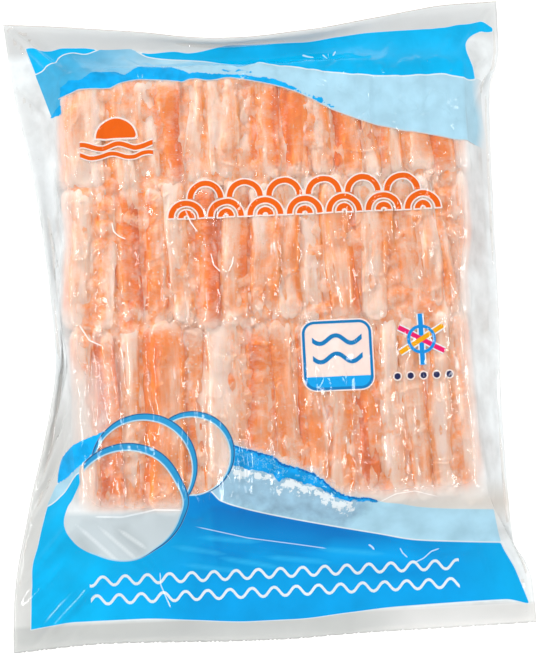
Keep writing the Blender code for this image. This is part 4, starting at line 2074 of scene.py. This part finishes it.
@dataclass
class FilmBag:
    """The pouch: a printed front sheet over a clear back sheet, sealed together all round.

    The folds are broad creases that lift the film. The hooks are thin ones that also carry a painted
    highlight line. The teeth are those of the cut lower end.
    """

    outline: BagOutline
    relief: Relief
    pitch: float = 1.2
    quick_coarsening: float = 1.6
    quick_effort: float = 0.6
    back_pitch: float = 3.4
    back_height: float = 0.05
    back_loose: float = 0.15
    seal_gap: float = 0.35
    seal_width: float = 9.0
    border_gap: float = 2.2  # how much further apart the sheets are inside the seal
    border_gap_reach: float = 14.0
    flat_under: tuple[float, float] = (7.0, 13.0)  # front heights over which the back comes to lie flat
    tooth_depth: float = 0.55
    crest_rounds: int = 16
    crest_range: tuple[float, float] = (-2.0, 1.5)
    crease_reach: float = 3.0
    artwork: Print = Print()
    folds: tuple[Fold, ...] = (
        Fold(((-97, -104), (-80, -124), (-66, -137)), 0.9),
        Fold(((-92, -107), (-76, -120), (-58, -140)), 0.7, 1.1),
        Fold(((-46, -119), (-10, -126), (22, -132))),
        Fold(((-40, -124), (0, -135), (40, -139)), 0.5),
        Fold(((-124, -142), (-112, -128)), 0.7),
        Fold(((-130, 128), (-121, 84), (-114, 40)), 0.4, 2.2),
        Fold(((124, 96), (125, 30), (122, -40), (124, -90)), 0.8, 1.7),
        Fold(((129, 60), (129, -10), (127, -80)), 0.6, 1.3),
        Fold(((122, -112), (130, -126), (139, -136)), 0.9, 1.5),
        Fold(((104, -112), (112, -130), (118, -150)), 0.7, 1.3),
        Fold(((60, -124), (84, -134), (110, -133)), 0.6),
        Fold(((120, 140), (128, 152), (137, 164)), 0.8, 1.4),
        Fold(((-104, 141), (-117, 152), (-130, 165)), 0.8, 1.4),
    )
    # thin creases, each of which also carries a painted highlight line on the film
    hooks: tuple[Fold, ...] = (
        Fold(((-27, 33.5), (-25.5, 26), (-21.5, 21.5)), 0.3, 0.32),
        Fold(((-14.5, 31), (-15.5, 26), (-18, 21.5)), 0.3, 0.32),
        Fold(((-80, 53), (-79, 47), (-76, 44), (-72, 42)), 0.3, 0.32),
        Fold(((-40, 58), (-37, 50), (-33, 44)), 0.3, 0.35),
        Fold(((-100, -2), (-94, -12), (-86, -16)), 0.3, 0.35),
        Fold(((-96, -106), (-80, -107), (-62, -104), (-46, -105)), 0.3, 0.45),
        Fold(((56, -106), (66, -101.5), (76, -100.5), (90, -104.5)), 0.3, 0.25),
        Fold(((-44, -113), (-14, -121), (14, -126), (30, -129)), 0.3, 0.22),
        Fold(((-62, -136.5), (-62, -144), (-59, -152), (-57, -157)), 0.3, 0.3),
        Fold(((51, -127.5), (53, -129), (54.5, -131)), 0.3, 0.45),
        Fold(((68, -130), (69.5, -133), (72.5, -136)), 0.3, 0.3),
        Fold(((75, -139), (81, -136.5), (85, -133), (90, -131.5)), 0.3, 0.3),
        Fold(((40.5, 149), (43, 141.5)), 0.3, 0.45),
        Fold(((48.5, 150.5), (46, 145)), 0.3, 0.45),
        Fold(((29, 149.5), (32, 147.5), (36, 145.5)), 0.3, 0.7),
    )

    @staticmethod
    def sheet_mesh(name: str, grid: Array, attributes: dict[str, Array | float]) -> Object:
        """Make a grid primitive with as many points as a sheet, and move them to their places.

        Args:
            name: the sheet's name.
            grid: its x, y, z places.
            attributes: what its material reads, for each point or as one number for them all.

        Returns:
            The sheet.
        """
        lines, columns = grid.shape[:2]
        deselect()
        bpy.ops.mesh.primitive_grid_add(x_subdivisions=columns - 1, y_subdivisions=lines - 1, size=2.0)
        sheet = bpy.context.view_layer.objects.active
        sheet.name = name
        place_points(sheet.data, grid.reshape(-1, 3) * MM)
        for attribute, values in attributes.items():
            store(sheet.data, attribute, np.broadcast_to(values, (lines, columns)))
        return sheet

    def pink(self, grid: Array) -> None:
        """Cut the sheet's lower end in small teeth, in place."""
        grid[0, ::2, 1] += self.tooth_depth

    def crests(self, grid: Array) -> Array:
        """How far each point of a sheet stands over the mean of the places around it.

        Args:
            grid: the sheet's x, y, z places.

        Returns:
            The height of each point over that mean.
        """
        level = grid[..., 2].copy()
        blur(level, self.crest_rounds)
        return np.clip(grid[..., 2] - level, *self.crest_range)

    def crease_lines(self, x: Array, y: Array) -> tuple[Array, Array]:
        """Find the nearest single crease to each place.

        Args:
            x: places across the pack.
            y: places along the pack.

        Returns:
            The signed distance from its line, and its half width there, below nought away from all.
        """
        side, half = np.full(x.shape, 5.0), np.full(x.shape, -2.0)
        for fold in self.hooks:
            away, fading = fold.nearness(x, y)
            nearer = np.abs(away) < np.minimum(np.abs(side), self.crease_reach)
            side = np.where(nearer, away, side)
            half = np.where(nearer, fold.half_width * (2 * fading - 1), half)
        return side, half

    @staticmethod
    def rim_distance(grid: Array, pitch: float) -> Array:
        """How far each point is from the edge of the cut sheet, whose points lie a pitch apart."""
        along, across = (np.minimum(np.arange(count), np.arange(count)[::-1]) for count in grid.shape[:2])
        return np.minimum(along[:, None], across[None, :]) * pitch

    def back_grid(self, front: Array, rim: Array, pitch: float) -> Array:
        """Shape the back sheet: flat under the block, just under the front sheet in the borders.

        Args:
            front: the front sheet's x, y, z places.
            rim: how far each of its points is from the bag's edge.
            pitch: spacing of its points.

        Returns:
            The back sheet's x, y, z places.
        """
        picked = [
            np.linspace(0, count - 1, int(count * pitch / self.back_pitch)).round().astype(int)
            for count in front.shape[:2]
        ]
        back = front[np.ix_(*picked)].copy()
        inside_seal = np.clip((rim[np.ix_(*picked)] - self.seal_width) / self.border_gap_reach, 0, 1)
        low, high = self.flat_under
        covered = ease((back[..., 2] - low) / (high - low))
        hanging = np.maximum(back[..., 2] - self.seal_gap - self.border_gap * inside_seal, self.back_height)
        back[..., 2] = hanging * (1 - covered) + self.back_height * covered
        return back

    def print_sheet(self, grid: Array, rim: Array, pitch: float) -> Object:
        """Make the front sheet with all that its print and its finish read.

        Args:
            grid: the sheet's x, y, z places.
            rim: how far each point is from the bag's edge.
            pitch: spacing of its points.

        Returns:
            The sheet.
        """
        x, y = grid[..., 0], grid[..., 1]
        side, half = self.crease_lines(x, y)
        front = self.sheet_mesh("film", grid, self.artwork.fields(x, y) | {
            "crest": self.crests(grid),
            "crease_side": side,
            "crease_half": half,
            "upper_end": np.arange(len(grid))[::-1, None] * pitch,
            "loose": self.relief.openness(x, y),
            "rim": rim,
        })
        front.data.materials.append(FilmFinish("printed_pouch_film", self.artwork.inks()).make())
        return front

    def build(self) -> Object:
        """Drape, print and seal the bag.

        Returns:
            The bag as one closed piece.
        """
        coarsening, effort = ((1.0, 1.0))
        pitch = self.pitch * coarsening
        grid = DrapedSheet(self.outline, self.relief).drape(pitch, effort)
        self.pink(grid)
        grid[..., 2] += sum(fold.lift(grid[..., 0], grid[..., 1]) for fold in self.folds + self.hooks)
        rim = self.rim_distance(grid, pitch)
        front = self.print_sheet(grid, rim, pitch)
        nowhere = {"crest": -4.0, "crease_side": 20.0, "crease_half": -2.0, "rim": 20.0}
        back = self.sheet_mesh(
            "film_back", self.back_grid(grid, rim, pitch), {"loose": self.back_loose} | nowhere
        )
        back.data.flip_normals()
        back.data.materials.append(FilmFinish("clear_pouch_film").make())
        bag = join([front, back], "film_bag")
        self.seal(bag)
        finish_piece(bag)
        return bag

    @staticmethod
    def seal(bag: Object) -> None:
        """Bridge the two sheets' open edges.

        Args:
            bag: the joined sheets.
        """
        deselect()
        bag.select_set(True)
        bpy.context.view_layer.objects.active = bag
        bpy.ops.object.mode_set(mode="EDIT")
        bpy.ops.mesh.select_mode(type="EDGE")
        bpy.ops.mesh.select_all(action="DESELECT")
        bpy.ops.mesh.select_non_manifold(extend=False)
        bpy.ops.mesh.bridge_edge_loops()
        bpy.ops.mesh.select_all(action="SELECT")
        bpy.ops.mesh.normals_make_consistent(inside=False)
        bpy.ops.object.mode_set(mode="OBJECT")


# ---- Studio ----


@dataclass(frozen=True)
class Softbox:
    """A soft rectangular lamp that looks at the pack from a bearing and a height angle.

    Only a mirrored lamp shows in glossy surfaces, as with a polarising sheet over the others.
    """

    name: str
    bearing: float
    elevation: float
    distance: float
    width: float
    height: float
    power: float
    mirrored: bool = False


@dataclass
class Studio:
    """Plain pale floor, soft lamps and the camera above the pack."""

    floor_size: float = 6.0
    floor_colour: str = "fdfdfc"
    sky_strength: float = 0.32
    camera_bearing: float = -97.64
    camera_elevation: float = 82.17
    camera_roll: float = 4.97
    camera_distance: float = 0.80
    aim: tuple[float, float, float] = (5.8, -7.5, 6.0)
    focal_pixels: float = 1449.5
    lamps: tuple[Softbox, ...] = (
        Softbox("key_box", 112.0, 42.0, 1.6, 1.2, 0.9, 22.6),
        Softbox("front_fill", -80.0, 30.0, 1.5, 1.2, 0.8, 17.0),
        Softbox("right_fill", 5.0, 28.0, 1.5, 1.2, 0.8, 14.4),
        Softbox("left_fill", 185.0, 28.0, 1.5, 1.2, 0.8, 13.4),
        Softbox("right_glint", 3.0, 62.0, 1.3, 0.36, 0.12, 2.4, True),
        Softbox("left_glint", 181.0, 63.0, 1.3, 0.36, 0.12, 2.8, True),
    )

    def floor(self) -> None:
        """Lay the floor just under the pack."""
        deselect()
        bpy.ops.mesh.primitive_plane_add(size=self.floor_size, location=(0.0, 0.0, 0.0))
        floor = bpy.context.view_layer.objects.active
        floor.name = "floor"
        material = start_material("matt_paper_floor", {
            "Base Color": linear(self.floor_colour),
            "Roughness": 0.9,
            "Specular IOR Level": 0.1,
        })[0]
        floor.data.materials.append(material)
        floor.visible_glossy = False

    def sky(self) -> None:
        """Fill the room with even white light."""
        world = bpy.data.worlds.new("white_room")
        bpy.context.scene.world = world
        world.use_nodes = True
        background = world.node_tree.nodes["Background"]
        background.inputs["Color"].default_value = (1.0, 1.0, 1.0, 1.0)
        background.inputs["Strength"].default_value = self.sky_strength

    def hang(self, lamp: Softbox) -> None:
        """Hang one softbox and turn it to the pack.

        Args:
            lamp: the softbox.
        """
        light = bpy.data.lights.new(lamp.name, "AREA")
        light.shape = "RECTANGLE"
        light.size, light.size_y = lamp.width, lamp.height
        light.energy = lamp.power
        holder = bpy.data.objects.new(lamp.name, light)
        away = direction(lamp.bearing, lamp.elevation)
        holder.location = away * lamp.distance
        holder.visible_glossy = lamp.mirrored
        holder.rotation_euler = away.to_track_quat("Z", "Y").to_euler()
        bpy.context.scene.collection.objects.link(holder)

    def camera(self) -> None:
        """Set the camera where the photographer stood, nearly straight above."""
        back = direction(self.camera_bearing, self.camera_elevation)
        right = (-back).cross(Vector((0.0, 0.0, 1.0))).normalized()
        up = right.cross(-back)
        roll = math.radians(self.camera_roll)
        rolled_right = right * math.cos(roll) + up * math.sin(roll)
        rolled_up = up * math.cos(roll) - right * math.sin(roll)
        data = bpy.data.cameras.new("camera")
        data.sensor_width = 36.0
        data.lens = self.focal_pixels * data.sensor_width / PHOTO_HEIGHT
        holder = bpy.data.objects.new("camera", data)
        turn = Matrix((rolled_right, rolled_up, back)).transposed()
        place = Vector(self.aim) * MM + back * self.camera_distance
        holder.matrix_world = Matrix.Translation(place) @ turn.to_4x4()
        bpy.context.scene.collection.objects.link(holder)
        bpy.context.scene.camera = holder

    def build(self) -> None:
        """Set up the whole studio."""
        self.floor()
        self.sky()
        for lamp in self.lamps:
            self.hang(lamp)
        self.camera()
        bpy.context.scene.view_settings.view_transform = "Standard"


def main() -> None:
    """Load the frame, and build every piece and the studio."""
    logging.basicConfig(level=logging.INFO, format="%(name)s: %(message)s")
    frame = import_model()
    outline = BagOutline(frame["nodes"][NODE])
    Studio().build()
    block = LegMeatBlock()
    contents = block.build()
    contents.append(FrozenJuice().build(block))
    contents.append(FrostCrumbs().build(block))
    relief = Relief(contents, outline)
    LOG.info("highest point of the contents: %.1f mm", relief.heights.max())
    FilmBag(outline, relief).build()


if __name__ == "__main__":
    main()
